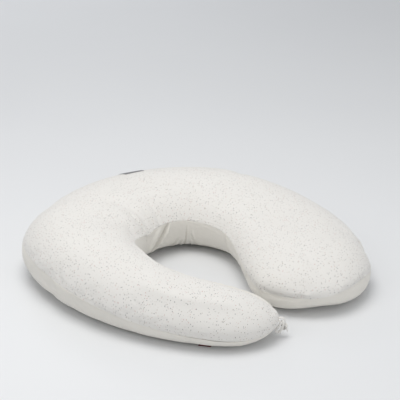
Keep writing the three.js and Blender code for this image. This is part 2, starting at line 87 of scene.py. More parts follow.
def pairs(a, b):
    """Two arrays that broadcast, as one array of pairs."""
    return np.stack(np.broadcast_arrays(a, b), axis=-1)


def grid_quads(rows, columns, wrap=False):
    """Faces of a grid of points; with wrap the last column joins the first."""
    i, j = np.meshgrid(np.arange(rows - 1), np.arange(columns - (not wrap)), indexing="ij")
    here = (i * columns + j).ravel()
    beside = (i * columns + (j + 1) % columns).ravel()
    return np.stack([here, here + columns, beside + columns, beside], axis=1)



# ---- camera

TARGET = Vector((0.0363, 0.0315, 0.0))  # metres, as is the distance
CAMERA_DISTANCE = 2.2
CAMERA_AZIMUTH = math.radians(-38)
CAMERA_ELEVATION = math.radians(26)
CAMERA_TILT_UP = math.radians(3.12)
CAMERA_TURN_RIGHT = math.radians(0.16)
LENS_MM = 99

camera = add_object("camera", bpy.data.cameras.new("camera"))
camera.data.lens = LENS_MM
camera.data.sensor_width = 36
level = math.cos(CAMERA_ELEVATION)
back = Vector(
    (math.sin(CAMERA_AZIMUTH) * level, -math.cos(CAMERA_AZIMUTH) * level, math.sin(CAMERA_ELEVATION))
)
camera.location = TARGET + back * CAMERA_DISTANCE
aim = (-back).to_track_quat("-Z", "Y")
camera.rotation_mode = "QUATERNION"
framing = Euler((CAMERA_TILT_UP, -CAMERA_TURN_RIGHT, 0)).to_quaternion()
camera.rotation_quaternion = aim @ framing
bpy.context.scene.camera = camera

# ---- shape of the body: that of the CAD part, with local changes

ORIGIN = np.array([2.27, -0.747])  # the CAD outline's own origin, before it was centred
CENTRELINE = [
    (-37, -295), (-144, -179), (-194, 0), (-134, 155), (-13, 193),
    (117, 156), (185, -20), (148, -136), (74, -300),
]
# Values at equal steps along the centreline, left tip to right tip.
INNER_HALF_WIDTH = [75, 52, 110, 115, 119, 115, 123]
OUTER_HALF_WIDTH = [77, 82, 109, 117, 105, 121, 112]
LOFT = [76, 104, 121, 128, 126, 107, 93]
OUTER_SEAM_Z = [13, 39, 64, 58, 58, 64, 61]
INNER_SEAM_Z = [73, 96, 85, 74, 71, 60, 35]
BASE_EXPONENT = [2.5, 2.6, 2.95, 2.95, 2.95, 2.4, 3.8]  # squareness of the section on the floor
SEAM_SLANT = [0.8, 1.0, 1.0, 0.7, 0.55, 0.15, 0.9]  # lean of the top panel above the outer seam

TIP_LENGTH = 122  # length over which each arm rounds off
WIDEST_AT = 0.46  # height of the widest line as a share of the loft
CROWN_EXPONENT = 2.15  # roundness of the section above the widest line
SLANT_EXPONENT = 0.85  # change of the crown's exponents where the slant is 1
SLANT_WIDTH = 2.0  # and the extra half width that makes up for it
WIDEST_DIP_SHARE = 0.35  # share of a dip of the outer seam that the widest line follows
WIDEST_FOLLOWS_SEAM = (1180, 1270)  # from here to the right tip the widest line runs along the seam
BASE_SINK = 3  # the section is cut off flat this far up, to rest on the floor
BASE_TIP_FULLNESS = 1.15  # the underside keeps its depth longer than the crown at a tip

# Where the cover bulges out or draws in: distance along the centreline, extra width, reach.
OUTER_FULLNESS = [(480, 9, 48), (1060, 7, 50), (1140, 11, 70)]
INNER_FULLNESS = [(1245, 8, 45), (385, -15, 60)]
# Where a seam runs lower than its even curve: distance, change of height, reach.
OUTER_SEAM_DIPS = [(1188, -23, 60)]
INNER_SEAM_DIPS = [(460, -10, 75), (560, -9, 62)]

ZIP_CENTRE = np.array([-8.0, -2.0])
ZIP_RADIUS = 313
ZIP_FROM = math.radians(42)
ZIP_TO = math.radians(116)
ZIP_MARGIN = 28  # length of edge beyond each zip end that still follows the arc
ZIP_BLEND = 60  # further length that eases back to the free outline
ZIP_Z = 57
ZIP_HALF_SLOT = 3.6
SLOT_MARGIN = 3  # the panels part for the zip this far past its ends, then close
SLOT_BLEND = 12
SEAM_HALF_GAP = 0.15
ZIP_SPAN_OF_LINE = (0.2, 0.85)  # shares of the centreline between which the zip is looked for
LINE_SAMPLES = 4001
SECTION_SAMPLES = 241

COVER_THICKNESS = 1.0


def natural_spline(knots, values):
    """Natural cubic spline through the values, as a function of an array."""
    knots = np.asarray(knots, float)
    values = np.asarray(values, float)
    count = len(knots)
    step = np.diff(knots)
    matrix = np.eye(count)
    right = np.zeros(count)
    slope = np.diff(values) / step
    for i in range(1, count - 1):
        matrix[i, i - 1 : i + 2] = step[i - 1], 2 * (step[i - 1] + step[i]), step[i]
        right[i] = 6 * (slope[i] - slope[i - 1])
    bend = np.linalg.solve(matrix, right)

    def value(t):
        t = np.asarray(t, float)
        i = np.clip(np.searchsorted(knots, t, side="right") - 1, 0, count - 2)
        h = step[i]
        a = (knots[i + 1] - t) / h
        b = (t - knots[i]) / h
        curve = ((a**3 - a) * bend[i] + (b**3 - b) * bend[i + 1]) * h * h / 6
        return a * values[i] + b * values[i + 1] + curve

    return value


def even_spline(values):
    return natural_spline(np.linspace(0, 1, len(values)), values)


inner_width_at = even_spline(INNER_HALF_WIDTH)
outer_width_at = even_spline(OUTER_HALF_WIDTH)
loft_at = even_spline(LOFT)
outer_seam_at = even_spline(OUTER_SEAM_Z)
inner_seam_at = even_spline(INNER_SEAM_Z)
base_exponent_at = even_spline(BASE_EXPONENT)
seam_slant_at = even_spline(SEAM_SLANT)

outline = np.array(CENTRELINE, float)
chords = run_lengths(outline)
fine_t = np.linspace(0, chords[-1], LINE_SAMPLES)
fine_line = np.stack([natural_spline(chords, column)(fine_t) for column in outline.T], axis=1)
line_lengths = run_lengths(fine_line)
LINE_LENGTH = line_lengths[-1]
line_slopes = np.gradient(fine_line, line_lengths, axis=0)


def centre_at(distance):
    """Point, direction and inward direction of the centreline, each N x 2."""
    point = lookup(distance, line_lengths, fine_line)
    along = unit(lookup(distance, line_lengths, line_slopes))
    inward = np.stack([along[..., 1], -along[..., 0]], axis=-1)
    return point, along, inward


def edge_angle(distance):
    """Angle round the zip's centre at which the outer edge lies."""
    point, _, inward = centre_at(distance)
    edge = point - inward * outer_width_at(distance / LINE_LENGTH)[..., None] - ZIP_CENTRE
    return np.arctan2(edge[..., 1], edge[..., 0])


def fullness(distance, bulges):
    """Sum of the local changes, such as extra half width, at each distance."""
    return sum(extra * bell(distance - centre, reach) for centre, extra, reach in bulges)


def zip_share(distance, margin, blend):
    """1 where the outer edge lies within a margin of the zip, easing to 0 over the blend."""
    angle = edge_angle(distance)
    outside = np.maximum(ZIP_FROM - angle, angle - ZIP_TO) * ZIP_RADIUS
    share = 1 - smoothstep(outside, margin, margin + blend)
    low, high = ZIP_SPAN_OF_LINE
    return np.where((distance < LINE_LENGTH * low) | (distance > LINE_LENGTH * high), 0, share)


class Section:
    """Cross-sections of the body at an array of distances, at a depth below the cover's face."""

    def __init__(self, distance, depth=0.0):
        distance = np.asarray(distance, float)
        self.distance = distance
        self.depth = depth
        s = distance / LINE_LENGTH
        self.point, self.along, self.inward = centre_at(distance)
        length = TIP_LENGTH - depth
        from_end = np.minimum(distance, LINE_LENGTH - distance) - depth
        left = np.clip((length - from_end) / length, 0, 1)
        tip = np.sqrt(1 - left**2)
        self.tip = tip
        loft = loft_at(s)
        middle = loft * WIDEST_AT
        half = outer_width_at(s)
        self.zip = zip_share(distance, ZIP_MARGIN, ZIP_BLEND)
        self.slot = zip_share(distance, SLOT_MARGIN, SLOT_BLEND)
        offset = self.point - ZIP_CENTRE
        across = -(offset * self.inward).sum(-1)
        reach = -across + np.sqrt(np.maximum(across**2 - (offset**2).sum(-1) + ZIP_RADIUS**2, 0))
        outer_half = np.where(self.zip > 0, mix(half, reach, self.zip), half)
        self.middle = middle
        self.slant = np.clip(seam_slant_at(s), 0, 1) * (1 - self.zip)
        outer_half = outer_half + fullness(distance, OUTER_FULLNESS) * (1 - self.zip)
        inner_half = inner_width_at(s) + fullness(distance, INNER_FULLNESS)
        self.inner_half = (inner_half - depth) * tip
        self.outer_half = (outer_half + SLANT_WIDTH * self.slant - depth) * tip
        self.rise = (loft - middle - depth) * tip
        self.drop = (middle + BASE_SINK - depth) * np.minimum(1, tip * BASE_TIP_FULLNESS)
        outer_seam = outer_seam_at(s) + fullness(distance, OUTER_SEAM_DIPS)
        inner_seam = inner_seam_at(s) + fullness(distance, INNER_SEAM_DIPS)
        self.outer_seam = middle + (mix(outer_seam, ZIP_Z, self.zip) - middle) * tip
        self.inner_seam = middle + (inner_seam - middle) * tip
        dipped = middle + WIDEST_DIP_SHARE * fullness(distance, OUTER_SEAM_DIPS)
        follow = self.slant * smoothstep(distance, *WIDEST_FOLLOWS_SEAM)
        self.outer_middle = mix(dipped, self.outer_seam, follow)
        self.base_exponent = base_exponent_at(s)

    def side_heights(self, outer):
        """Height of the widest line, rise above it and drop below it, on one side."""
        widest = self.outer_middle if outer else self.middle
        return widest, self.middle + self.rise - widest, widest - self.middle + self.drop

    def angle_of(self, height, outer=False):
        """Angle at which the section crosses a height, measured from the side it crosses on."""
        widest, rise, drop = self.side_heights(outer)
        up = height - widest
        above = np.clip(up / np.maximum(rise, 1e-6), 0, 1)
        below = np.clip(-up / np.maximum(drop, 1e-6), 0, 1)
        crown = CROWN_EXPONENT - SLANT_EXPONENT * self.slant if outer else CROWN_EXPONENT
        high = np.arcsin(above ** (crown / 2))
        low = -np.arcsin(below ** (self.base_exponent / 2))
        return np.where(up >= 0, high, low)

    def surface(self, angle):
        """Points in the part's frame at an array of angles, rings x columns."""
        cos, sin = np.cos(angle), np.sin(angle)
        lean = SLANT_EXPONENT * self.slant[:, None] * (cos < 0)
        across_exponent = np.where(sin >= 0, CROWN_EXPONENT + lean, self.base_exponent[:, None])
        up_exponent = np.where(sin >= 0, CROWN_EXPONENT - lean, self.base_exponent[:, None])
        across = signed_power(cos, 2 / across_exponent)
        up = signed_power(sin, 2 / up_exponent)
        half = np.where(cos >= 0, self.inner_half[:, None], self.outer_half[:, None])
        plan = self.point[:, None] + self.inward[:, None] * (half * across)[..., None]
        widest, rise, drop = (
            np.where(cos >= 0, inner[:, None], outer[:, None])
            for inner, outer in zip(self.side_heights(False), self.side_heights(True))
        )
        z = np.maximum(widest + up * np.where(sin >= 0, rise, drop), self.depth)
        return np.concatenate([plan - ORIGIN, z[..., None]], axis=-1)


TIP_RINGS = 22
MIDDLE_RINGS = 166
RING_COUNT = 2 * TIP_RINGS + MIDDLE_RINGS  # steps of the ring parameter from tip to tip


def quarter_turn(share):
    return 1 - np.cos(np.pi / 2 * np.clip(share, 0, 1))


def ring_distance(step, depth=0.0):
    """Distance along the centreline at a ring parameter from 0 to RING_COUNT."""
    length = TIP_LENGTH - depth
    step = np.asarray(step, float)
    start = depth + length * quarter_turn(step / TIP_RINGS)
    end = LINE_LENGTH - depth - length * quarter_turn((RING_COUNT - step) / TIP_RINGS)
    share = np.clip((step - TIP_RINGS) / MIDDLE_RINGS, 0, 1)
    middle = mix(depth + length, LINE_LENGTH - depth - length, share)
    return np.where(step < TIP_RINGS, start, np.where(step > RING_COUNT - TIP_RINGS, end, middle))


def panel_grid(side, steps, fractions, depth=0.0, gap=0.0):
    """Points of a panel: a row for each step, a column for each share of the way to the outer seam.

    Also the length of each row from seam to seam, and the sections.
    """
    section = Section(ring_distance(steps, depth), depth)
    sign = 1 if side == "upper" else -1
    zip_gap = mix(gap, ZIP_HALF_SLOT if gap else 0.0, section.slot)
    inner = section.angle_of(section.inner_seam + sign * gap)
    outer = np.pi - section.angle_of(section.outer_seam + sign * zip_gap, outer=True)
    start = inner if side == "upper" else 2 * np.pi + inner
    angles = start[:, None] + (outer - start)[:, None] * np.linspace(0, 1, SECTION_SAMPLES)
    lengths = [run_lengths(ring) for ring in section.surface(angles)]
    at = [np.interp(fractions * run[-1], run, ring) for run, ring in zip(lengths, angles)]
    return section.surface(np.array(at)), np.array([run[-1] for run in lengths]), section


def grid_normals(grid):
    """Unit normals of a grid of points; they point out of the body for an upper panel."""
    return unit(np.cross(np.gradient(grid, axis=0), np.gradient(grid, axis=1)))


# ---- cloth simulation of the stuffed cover

SIM_UPPER_COLUMNS = 50
SIM_LOWER_COLUMNS = 44
SIM_FRAMES = 20
SIM_START_DEPTH = 3.0
SIM_PRESSURE = 3.0
SIM_CAP = 9.0
SIM_SHAPE_KEPT = 0.25  # share of the slow, broad part of the movement that is kept
SIM_SEAM_SHARE = 0.5  # share of the movement used at the seams
SIM_UPPER_SHARE = 0.3  # and in the middle of each panel
SIM_LOWER_SHARE = 0.5
SIM_BLUR_ROUNDS = 60
SIM_EDGE_COLUMNS = 9  # columns over which a panel's share fades to the seams' own
SIM_TIP_HOLD = (1, 5)  # rings from a tip between which the hold on the cloth fades
SIM_ZIP_HOLD = (2, 7)  # columns from the zip between which its hold fades
SIM_SEAM_REACH = 1.6  # columns beside a seam that are drawn tight
SIM_WALL_COLUMN = 7  # column of the slack inner wall, and the columns it reaches
SIM_WALL_REACH = 9.0
SIM_TIGHT = 0.55  # tightness of the cloth, its gain at the seams and its loss on the inner wall
SIM_SEAM_TIGHTER = 0.45
SIM_WALL_SLACKER = 0.4
SIM_STEPS = np.arange(1, RING_COUNT)
SIM_COLUMNS = SIM_UPPER_COLUMNS + SIM_LOWER_COLUMNS
CLOTH_SETTINGS = {
    "quality": 6,
    "mass": 0.25,
    "tension_stiffness": 25,
    "compression_stiffness": 25,
    "shear_stiffness": 8,
    "bending_stiffness": 0.6,
    "tension_damping": 12,
    "compression_damping": 12,
    "shear_damping": 8,
    "air_damping": 2,
    "use_pressure": True,
    "uniform_pressure_force": SIM_PRESSURE,
    "vertex_group_mass": "pin",
    "vertex_group_shrink": "tight",
    "shrink_min": -0.035,
    "shrink_max": 0.02,
}


def mesh_object(name, points_mm, faces):
    mesh = bpy.data.meshes.new(name)
    mesh.from_pydata((np.asarray(points_mm, float) * MM).tolist(), [], [tuple(f) for f in faces])
    mesh.update()
    return add_object(name, mesh)


NOISE_CELLS = 256


def value_noise(x, y, seed):
    """Smooth noise from -1 to 1 on a lattice of unit cells."""
    table = np.random.default_rng(seed).uniform(-1, 1, (NOISE_CELLS, NOISE_CELLS))
    xi, yi = np.floor(x).astype(int), np.floor(y).astype(int)
    fx, fy = smoothstep(x - xi, 0, 1), smoothstep(y - yi, 0, 1)
    a, b, c, d = (
        table[(xi + i) % NOISE_CELLS, (yi + j) % NOISE_CELLS] for j in (0, 1) for i in (0, 1)
    )
    return mix(mix(a, b, fx), mix(c, d, fx), fy)


def blurred(field, rounds, wrap=False):
    """The field smoothed by that many rounds with its neighbours; columns may wrap round."""
    for _ in range(rounds):
        rows = np.pad(field, ((1, 1), (0, 0), (0, 0)), mode="edge")
        columns = np.pad(field, ((0, 0), (1, 1), (0, 0)), mode="wrap" if wrap else "edge")
        field = (rows[:-2] + rows[2:] + columns[:, :-2] + columns[:, 2:] + 2 * field) / 6
    return field


def fading(x, full, none):
    """1 up to the first value, falling evenly to 0 at the second."""
    return np.clip(1 - (x - full) / (none - full), 0, 1)


def cover_rings(depth=0.0):
    """Grid points round the cover at a depth: out over the upper panel, back under the lower."""
    grids = []
    for side, columns in (("upper", SIM_UPPER_COLUMNS), ("lower", SIM_LOWER_COLUMNS)):
        grid, _, section = panel_grid(side, SIM_STEPS, np.linspace(0, 1, columns + 1), depth)
        grids.append(grid)
    return np.concatenate([grids[0], grids[1][:, -2:0:-1]], axis=1), section


def cover_to_simulate():
    """A closed mesh of the cover, a little smaller than its rest shape."""
    rings, _ = cover_rings(SIM_START_DEPTH)
    poles = Section(np.array([SIM_START_DEPTH, LINE_LENGTH - SIM_START_DEPTH]), SIM_START_DEPTH)
    pole_points = np.concatenate([poles.point - ORIGIN, poles.middle[:, None]], axis=1)
    faces = grid_quads(len(SIM_STEPS), SIM_COLUMNS, wrap=True).tolist()
    first_pole = len(SIM_STEPS) * SIM_COLUMNS
    last_ring = first_pole - SIM_COLUMNS
    for j in range(SIM_COLUMNS):
        k = (j + 1) % SIM_COLUMNS
        faces.append((first_pole, j, k))
        faces.append((first_pole + 1, last_ring + k, last_ring + j))
    return mesh_object("cover_sim", np.concatenate([rings.reshape(-1, 3), pole_points]), faces)


def hold_weights(section):
    """How firmly each grid point is held, from 0 to 1: by the zip and at the tips."""
    from_outer = np.abs(np.arange(SIM_COLUMNS) - SIM_UPPER_COLUMNS)
    near_zip = section.zip[:, None] * fading(from_outer, *SIM_ZIP_HOLD)
    from_tip = np.minimum(SIM_STEPS, RING_COUNT - SIM_STEPS)
    return np.maximum(near_zip, fading(from_tip, *SIM_TIP_HOLD)[:, None])


def tight_weights():
    """How tight the cloth is at each grid point, from 0 to 1."""
    column = np.arange(SIM_COLUMNS)
    from_outer = np.abs(column - SIM_UPPER_COLUMNS)
    from_inner = np.minimum(column, SIM_COLUMNS - column)
    seam = np.maximum(bell(from_outer, SIM_SEAM_REACH), bell(from_inner, SIM_SEAM_REACH))
    wall = bell(from_inner - SIM_WALL_COLUMN, SIM_WALL_REACH)
    tight = np.clip(SIM_TIGHT + SIM_SEAM_TIGHTER * seam - SIM_WALL_SLACKER * wall, 0, 1)
    return np.tile(tight, (len(SIM_STEPS), 1))


def add_weights(obj, name, weights):
    """A vertex group of the cover; its two poles have full weight."""
    group = obj.vertex_groups.new(name=name)
    flat = np.round(np.concatenate([weights.ravel(), [1, 1]]), 2)
    for value in np.unique(flat):
        group.add(np.flatnonzero(flat == value).tolist(), float(value), "REPLACE")


def run_cloth(obj):
    """Places of the object's vertices once its cloth has settled."""
    modifier = obj.modifiers.new("cloth", "CLOTH")
    for key, value in CLOTH_SETTINGS.items():
        setattr(modifier.settings, key, value)
    modifier.settings.effector_weights.gravity = 0
    modifier.collision_settings.use_collision = False
    modifier.point_cache.frame_start = 1
    modifier.point_cache.frame_end = SIM_FRAMES
    for number in range(1, SIM_FRAMES + 1):
        bpy.context.scene.frame_set(number)
    evaluated = obj.evaluated_get(bpy.context.evaluated_depsgraph_get())
    places = np.empty(len(obj.data.vertices) * 3, np.float32)
    evaluated.data.vertices.foreach_get("co", places)
    return places.reshape(-1, 3).astype(float) / MM


def simulate_cover():
    """Displacement of each coarse grid point of the upper and the lower panel."""
    rest, section = cover_rings()
    hold = hold_weights(section)
    obj = cover_to_simulate()
    add_weights(obj, "pin", hold)
    add_weights(obj, "tight", tight_weights())
    moved = run_cloth(obj)[:-2].reshape(rest.shape) - rest
    bpy.data.objects.remove(obj)
    bpy.context.scene.frame_set(1)

    moved -= (1 - SIM_SHAPE_KEPT) * blurred(moved, SIM_BLUR_ROUNDS, wrap=True)
    size = np.linalg.norm(moved, axis=-1, keepdims=True)
    moved *= np.minimum(1, SIM_CAP / np.maximum(size, 1e-6))
    moved *= (1 - hold)[..., None]
    up = moved[:, : SIM_UPPER_COLUMNS + 1]
    low = np.concatenate([moved[:, :1], moved[:, : SIM_UPPER_COLUMNS - 1 : -1]], axis=1)
    return calmed(up, SIM_UPPER_SHARE), calmed(low, SIM_LOWER_SHARE)


def calmed(moved, share):
    """The movement scaled to a share mid-panel, and to the seams' own share beside them."""
    columns = moved.shape[1]
    from_edge = np.minimum(np.arange(columns), columns - 1 - np.arange(columns))
    return moved * mix(SIM_SEAM_SHARE, share, smoothstep(from_edge, 0, SIM_EDGE_COLUMNS))[:, None]


def resample(field, rows, columns):
    """Cubic (Catmull-Rom) values of a coarse field at fractional row and column indices."""
    for axis, at in ((0, rows), (1, columns)):
        count = field.shape[axis]
        base = np.clip(np.floor(at).astype(int), 0, count - 2)
        t = at - base
        picks = [np.clip(base + k, 0, count - 1) for k in (-1, 0, 1, 2)]
        shape = [1] * field.ndim
        shape[axis] = len(at)
        t = t.reshape(shape)
        p0, p1, p2, p3 = (np.take(field, pick, axis=axis) for pick in picks)
        square = 2 * p0 - 5 * p1 + 4 * p2 - p3
        cube = 3 * p1 - p0 - 3 * p2 + p3
        field = 0.5 * (2 * p1 + (p2 - p0) * t + square * t**2 + cube * t**3)
    return field


# ---- folds and puckers

# A crease runs between two places on a panel, each given as the distance along the centreline and
# the distance round the section from the inner seam; then come its depth and its width.
CREASES = [
    ("lower", (668, 2), (604, 62), 7.5, 4.2),
    ("lower", (640, 2), (585, 50), -3.5, 10.0),
    ("lower", (762, 16), (752, 66), 2.2, 3.6),
    ("lower", (806, 30), (846, 74), 2.6, 4.5),
    ("lower", (712, 40), (700, 82), 2.6, 3.6),
    ("lower", (735, 46), (738, 84), 2.4, 3.2),
    ("lower", (795, 50), (790, 86), 2.2, 3.6),
    ("lower", (1010, 6), (1030, 70), 2.6, 7.0),
    ("upper", (585, 0), (560, 120), 2.6, 19.0),
    ("upper", (520, 0), (548, 62), 2.2, 9.0),
    ("upper", (612, 0), (602, 48), 1.6, 5.5),
    ("upper", (635, 2), (640, 60), 1.0, 6.0),
    ("upper", (430, 0), (470, 110), 2.6, 26.0),
    ("upper", (905, 0), (915, 60), 1.0, 10.0),
    ("upper", (225, 84), (60, 54), -2.6, 11.0),
]
CREASE_WANDER = 0.35  # how far a crease strays from its straight line, as a share of its width
CREASE_STARTS = (-0.12, 0.18)  # shares of its length over which it rises, and fades again
CREASE_FADES = (0.8, 1.15)
CREASE_RIDGE = 0.55  # height of the ridge beside the valley, and its place and width in crease widths
RIDGE_OFFSET = 2.0
RIDGE_WIDTH = 1.3
SEAM_RIDGE = 0.8  # the two panels meet in a soft corner that stands out this far
SEAM_RIDGE_REACH = 5.0
INNER_PUCKER_DEPTH = 0.9
OUTER_PUCKER_DEPTH = 0.4
PUCKER_PITCH = 11.0
PUCKER_REACH = 20.0
PUCKER_PATCHES = 70.0  # length of the stretches over which the puckers come and go
WAVES = [(105, 1.1), (41, 0.3), (16, 0.1)]  # wavelength and height of the filling's slow unevenness
ZIP_CALM = 18.0  # distance from the zip over which the waves come back
TIP_CALM_RINGS = 5
FLOOR_CALM = (3, 34)  # heights between which the lower panel's unevenness fades to the floor
FLOOR_SHARE = 0.2  # and the share of it that stays there

FINE = 3  # rings of the finished panels to each ring of the simulated ones
COLUMNS = {"upper": 112, "lower": 100}
EDGE_CROWDING = 0.62  # how much closer the columns stand near the seams
SIGN = {"upper": 1, "lower": -1}
SKIN_LIFT = 0.35  # lowest height of a panel's inner face


def crease_push(side, distance, girth):
    """Movement along the normal made by the creases of a panel."""
    push = np.zeros(np.broadcast(distance, girth).shape)
    for panel, start, end, depth, width in CREASES:
        if panel != side:
            continue
        length = math.dist(start, end)
        along = (end[0] - start[0]) / length, (end[1] - start[1]) / length
        x, y = distance - start[0], girth - start[1]
        t = (x * along[0] + y * along[1]) / length
        wander = value_noise(girth / 17.0 + start[0], distance * 0 + depth, 5)
        off = x * along[1] - y * along[0] + CREASE_WANDER * width * wander
        ends = smoothstep(t, *CREASE_STARTS) * (1 - smoothstep(t, *CREASE_FADES))
        ridge = CREASE_RIDGE * bell(off - RIDGE_OFFSET * width, RIDGE_WIDTH * width)
        push += depth * ends * (ridge - bell(off, width))
    return push


def seam_ridge(from_seam):
    """Height of the soft corner in which the panels meet."""
    return SEAM_RIDGE * np.exp(-from_seam / SEAM_RIDGE_REACH)


def seam_push(distance, from_seam, seed, free, pucker_depth):
    """Corner and puckers beside a seam; free is 0 where the zip holds the edge flat."""
    ridge = seam_ridge(from_seam) * free
    lively = 0.55 + 0.45 * value_noise(distance / PUCKER_PATCHES, from_seam * 0 + 3.5, seed + 1)
    spread = 1 + from_seam / 30.0
    puckers = value_noise(distance / (PUCKER_PITCH * spread) + 40, from_seam / 60.0 + 9, seed)
    reach = np.exp(-from_seam / PUCKER_REACH) * (1 - 0.4 * np.exp(-from_seam / 3.0))
    return ridge + pucker_depth * lively * puckers * reach * free


def detailed_panel(side, moved):
    """Final outer skin of a panel with its normals, its lengths and where each point lies on it."""
    steps = np.arange(1, RING_COUNT * FINE) / FINE
    even = np.linspace(0, 1, COLUMNS[side] + 1)
    shares = mix(even, (1 - np.cos(np.pi * even)) / 2, EDGE_CROWDING)
    base, lengths, section = panel_grid(side, steps, shares, 0.0, SEAM_HALF_GAP)
    last_ring, last_column = moved.shape[0] - 1, moved.shape[1] - 1
    shift = resample(moved, np.clip(steps - 1, 0, last_ring), shares * last_column)
    floor_calm = np.ones(base.shape[:2])
    if side == "lower":
        floor_calm = mix(FLOOR_SHARE, 1.0, smoothstep(base[..., 2], *FLOOR_CALM))
    skin = base + shift * floor_calm[..., None]
    normal = grid_normals(skin) * SIGN[side]
    distance = section.distance[:, None] + 0 * shares[None]
    girth = shares[None] * lengths[:, None]
    from_outer = lengths[:, None] - girth
    free = 1 - section.zip[:, None]
    push = crease_push(side, distance, girth)
    push += seam_push(distance, girth, 21, np.ones_like(free), INNER_PUCKER_DEPTH)
    push += seam_push(distance, from_outer, 57, free, OUTER_PUCKER_DEPTH)
    for number, (pitch, height) in enumerate(WAVES):
        wave = value_noise(distance / pitch + 7 * number, girth / pitch + 3, 80 + number)
        calm = 1 - section.zip[:, None] * np.exp(-from_outer / ZIP_CALM)
        push += height * wave * calm * floor_calm
    tip_calm = smoothstep(np.minimum(steps, RING_COUNT - steps), 0, TIP_CALM_RINGS)[:, None]
    push = mix(seam_ridge(np.minimum(girth, from_outer)), push, tip_calm)
    skin = skin + normal * push[..., None]
    skin[..., 2] = np.maximum(skin[..., 2], 0.0)
    return {
        "side": side,
        "skin": skin,
        "normal": grid_normals(skin) * SIGN[side],
        "distance": distance,
        "girth": girth,
        "lengths": lengths,
        "section": section,
        "shares": shares,
    }


def piece(name, points, faces, uv_mm=None):
    """A finished mesh: a cloth UV map in metres of cloth, faces that point out, smooth shading."""
    obj = mesh_object(name, points, faces)
    if uv_mm is not None:
        layer = obj.data.uv_layers.new(name="cloth")
        loops = np.empty(len(obj.data.loops), np.int32)
        obj.data.loops.foreach_get("vertex_index", loops)
        layer.data.foreach_set("uv", (np.asarray(uv_mm)[loops] * MM).astype(np.float32).ravel())
    bm = bmesh.new()
    bm.from_mesh(obj.data)
    bmesh.ops.recalc_face_normals(bm, faces=bm.faces)
    bm.to_mesh(obj.data)
    bm.free()
    obj.data.shade_smooth()
    return obj


def panel_object(name, panel, thickness):
    """A sewn panel as a closed shell: outer skin, inner skin and the rim along the seams."""
    skin, normal = panel["skin"], panel["normal"]
    inner = skin - normal * thickness
    inner[..., 2] = np.maximum(inner[..., 2], SKIN_LIFT)
    rows, columns = skin.shape[:2]
    count = rows * columns
    uv = pairs(panel["distance"], panel["girth"] - panel["lengths"][:, None] / 2).reshape(-1, 2)
    ends = [(layer[row, 0] + layer[row, -1]) / 2 for layer in (skin, inner) for row in (0, -1)]
    points = np.concatenate([skin.reshape(-1, 3), inner.reshape(-1, 3), np.array(ends)])
    quads = grid_quads(rows, columns)
    faces = quads.tolist() + (quads[:, ::-1] + count).tolist()
    pole = 2 * count
    for layer in (0, 1):
        start, end = pole + 2 * layer, pole + 2 * layer + 1
        for j in range(columns - 1):
            here = layer * count + j
            there = here + (rows - 1) * columns
            faces.append((start, here, here + 1))
            faces.append((end, there + 1, there))
    for edge in (0, columns - 1):
        for i in range(rows - 1):
            k = i * columns + edge
            faces.append((k, k + columns, k + columns + count, k + count))
        faces.append((pole, edge, edge + count, pole + 2))
        k = (rows - 1) * columns + edge
        faces.append((pole + 1, k, k + count, pole + 3))
    return piece(name, points, faces, np.concatenate([uv, uv, np.zeros((4, 2))]))


moved_up, moved_low = simulate_cover()

upper = detailed_panel("upper", moved_up)
lower = detailed_panel("lower", moved_low)
upper_panel = panel_object("upper_panel", upper, COVER_THICKNESS)
lower_panel = panel_object("lower_panel", lower, COVER_THICKNESS)

# ---- materials


class Nodes:
    """Shorthand for building one node material."""

    def __init__(self, name):
        self.material = bpy.data.materials.new(name)
        self.material.use_nodes = True
        self.tree = self.material.node_tree

    def fill(self, sockets, values):
        """Joins each output to its socket, and sets each constant on it."""
        for key, value in values.items():
            if isinstance(value, bpy.types.NodeSocket):
                self.tree.links.new(value, sockets[key])
            elif value is not None:
                sockets[key].default_value = value

    def add(self, kind, inputs, output=0, **settings):
        """A new node with its settings and inputs; the result is one of its outputs."""
        node = self.tree.nodes.new(kind)
        for key, value in settings.items():
            setattr(node, key, value)
        self.fill(node.inputs, inputs)
        return node.outputs[output]

    def place(self):
        return self.add("ShaderNodeTexCoord", {}, "Object")

    def math(self, operation, a, b=None, clamp=False):
        return self.add("ShaderNodeMath", {0: a, 1: b}, operation=operation, use_clamp=clamp)

    def line(self, value, factor, base, clamp=False):
        """The value times the factor, plus the base."""
        return self.math("ADD", self.math("MULTIPLY", value, factor), base, clamp)

    def vector(self, operation, a, b=None, scale=None):
        inputs = {0: a, 1: b, "Scale": scale}
        output = "Value" if operation == "LENGTH" else "Vector"
        return self.add("ShaderNodeVectorMath", inputs, output, operation=operation)

    def noise(self, place, scale, detail=2.0, roughness=0.5):
        inputs = {"Vector": place, "Scale": scale, "Detail": detail, "Roughness": roughness}
        return self.add("ShaderNodeTexNoise", inputs, "Fac")

    def steps(self, factor, stops):
        """One of several colours, each from its own position on."""
        output = self.add("ShaderNodeValToRGB", {0: factor})
        output.node.color_ramp.interpolation = "CONSTANT"
        elements = output.node.color_ramp.elements
        while len(elements) < len(stops):
            elements.new(0.5)
        for element, (position, colour) in zip(elements, stops):
            element.position = position
            element.color = colour
        return output

    def mix_colour(self, factor, a, b):
        return self.add("ShaderNodeMix", {0: factor, 6: a, 7: b}, 2, data_type="RGBA")

    def bump(self, height, strength, distance, normal=None):
        inputs = {"Height": height, "Strength": strength, "Distance": distance, "Normal": normal}
        return self.add("ShaderNodeBump", inputs)

    def finish(self, **inputs):
        """Fills the shader's inputs, such as Base_Color, and returns the material."""
        named = {key.replace("_", " "): value for key, value in inputs.items()}
        self.fill(self.tree.nodes["Principled BSDF"].inputs, named)
        return self.material


def linear(*srgb):
    """An sRGB colour, 0 to 255, as linear values with full opacity."""
    return *(c / 255 / 12.92 if c <= 10 else ((c / 255 + 0.055) / 1.055) ** 2.4 for c in srgb), 1


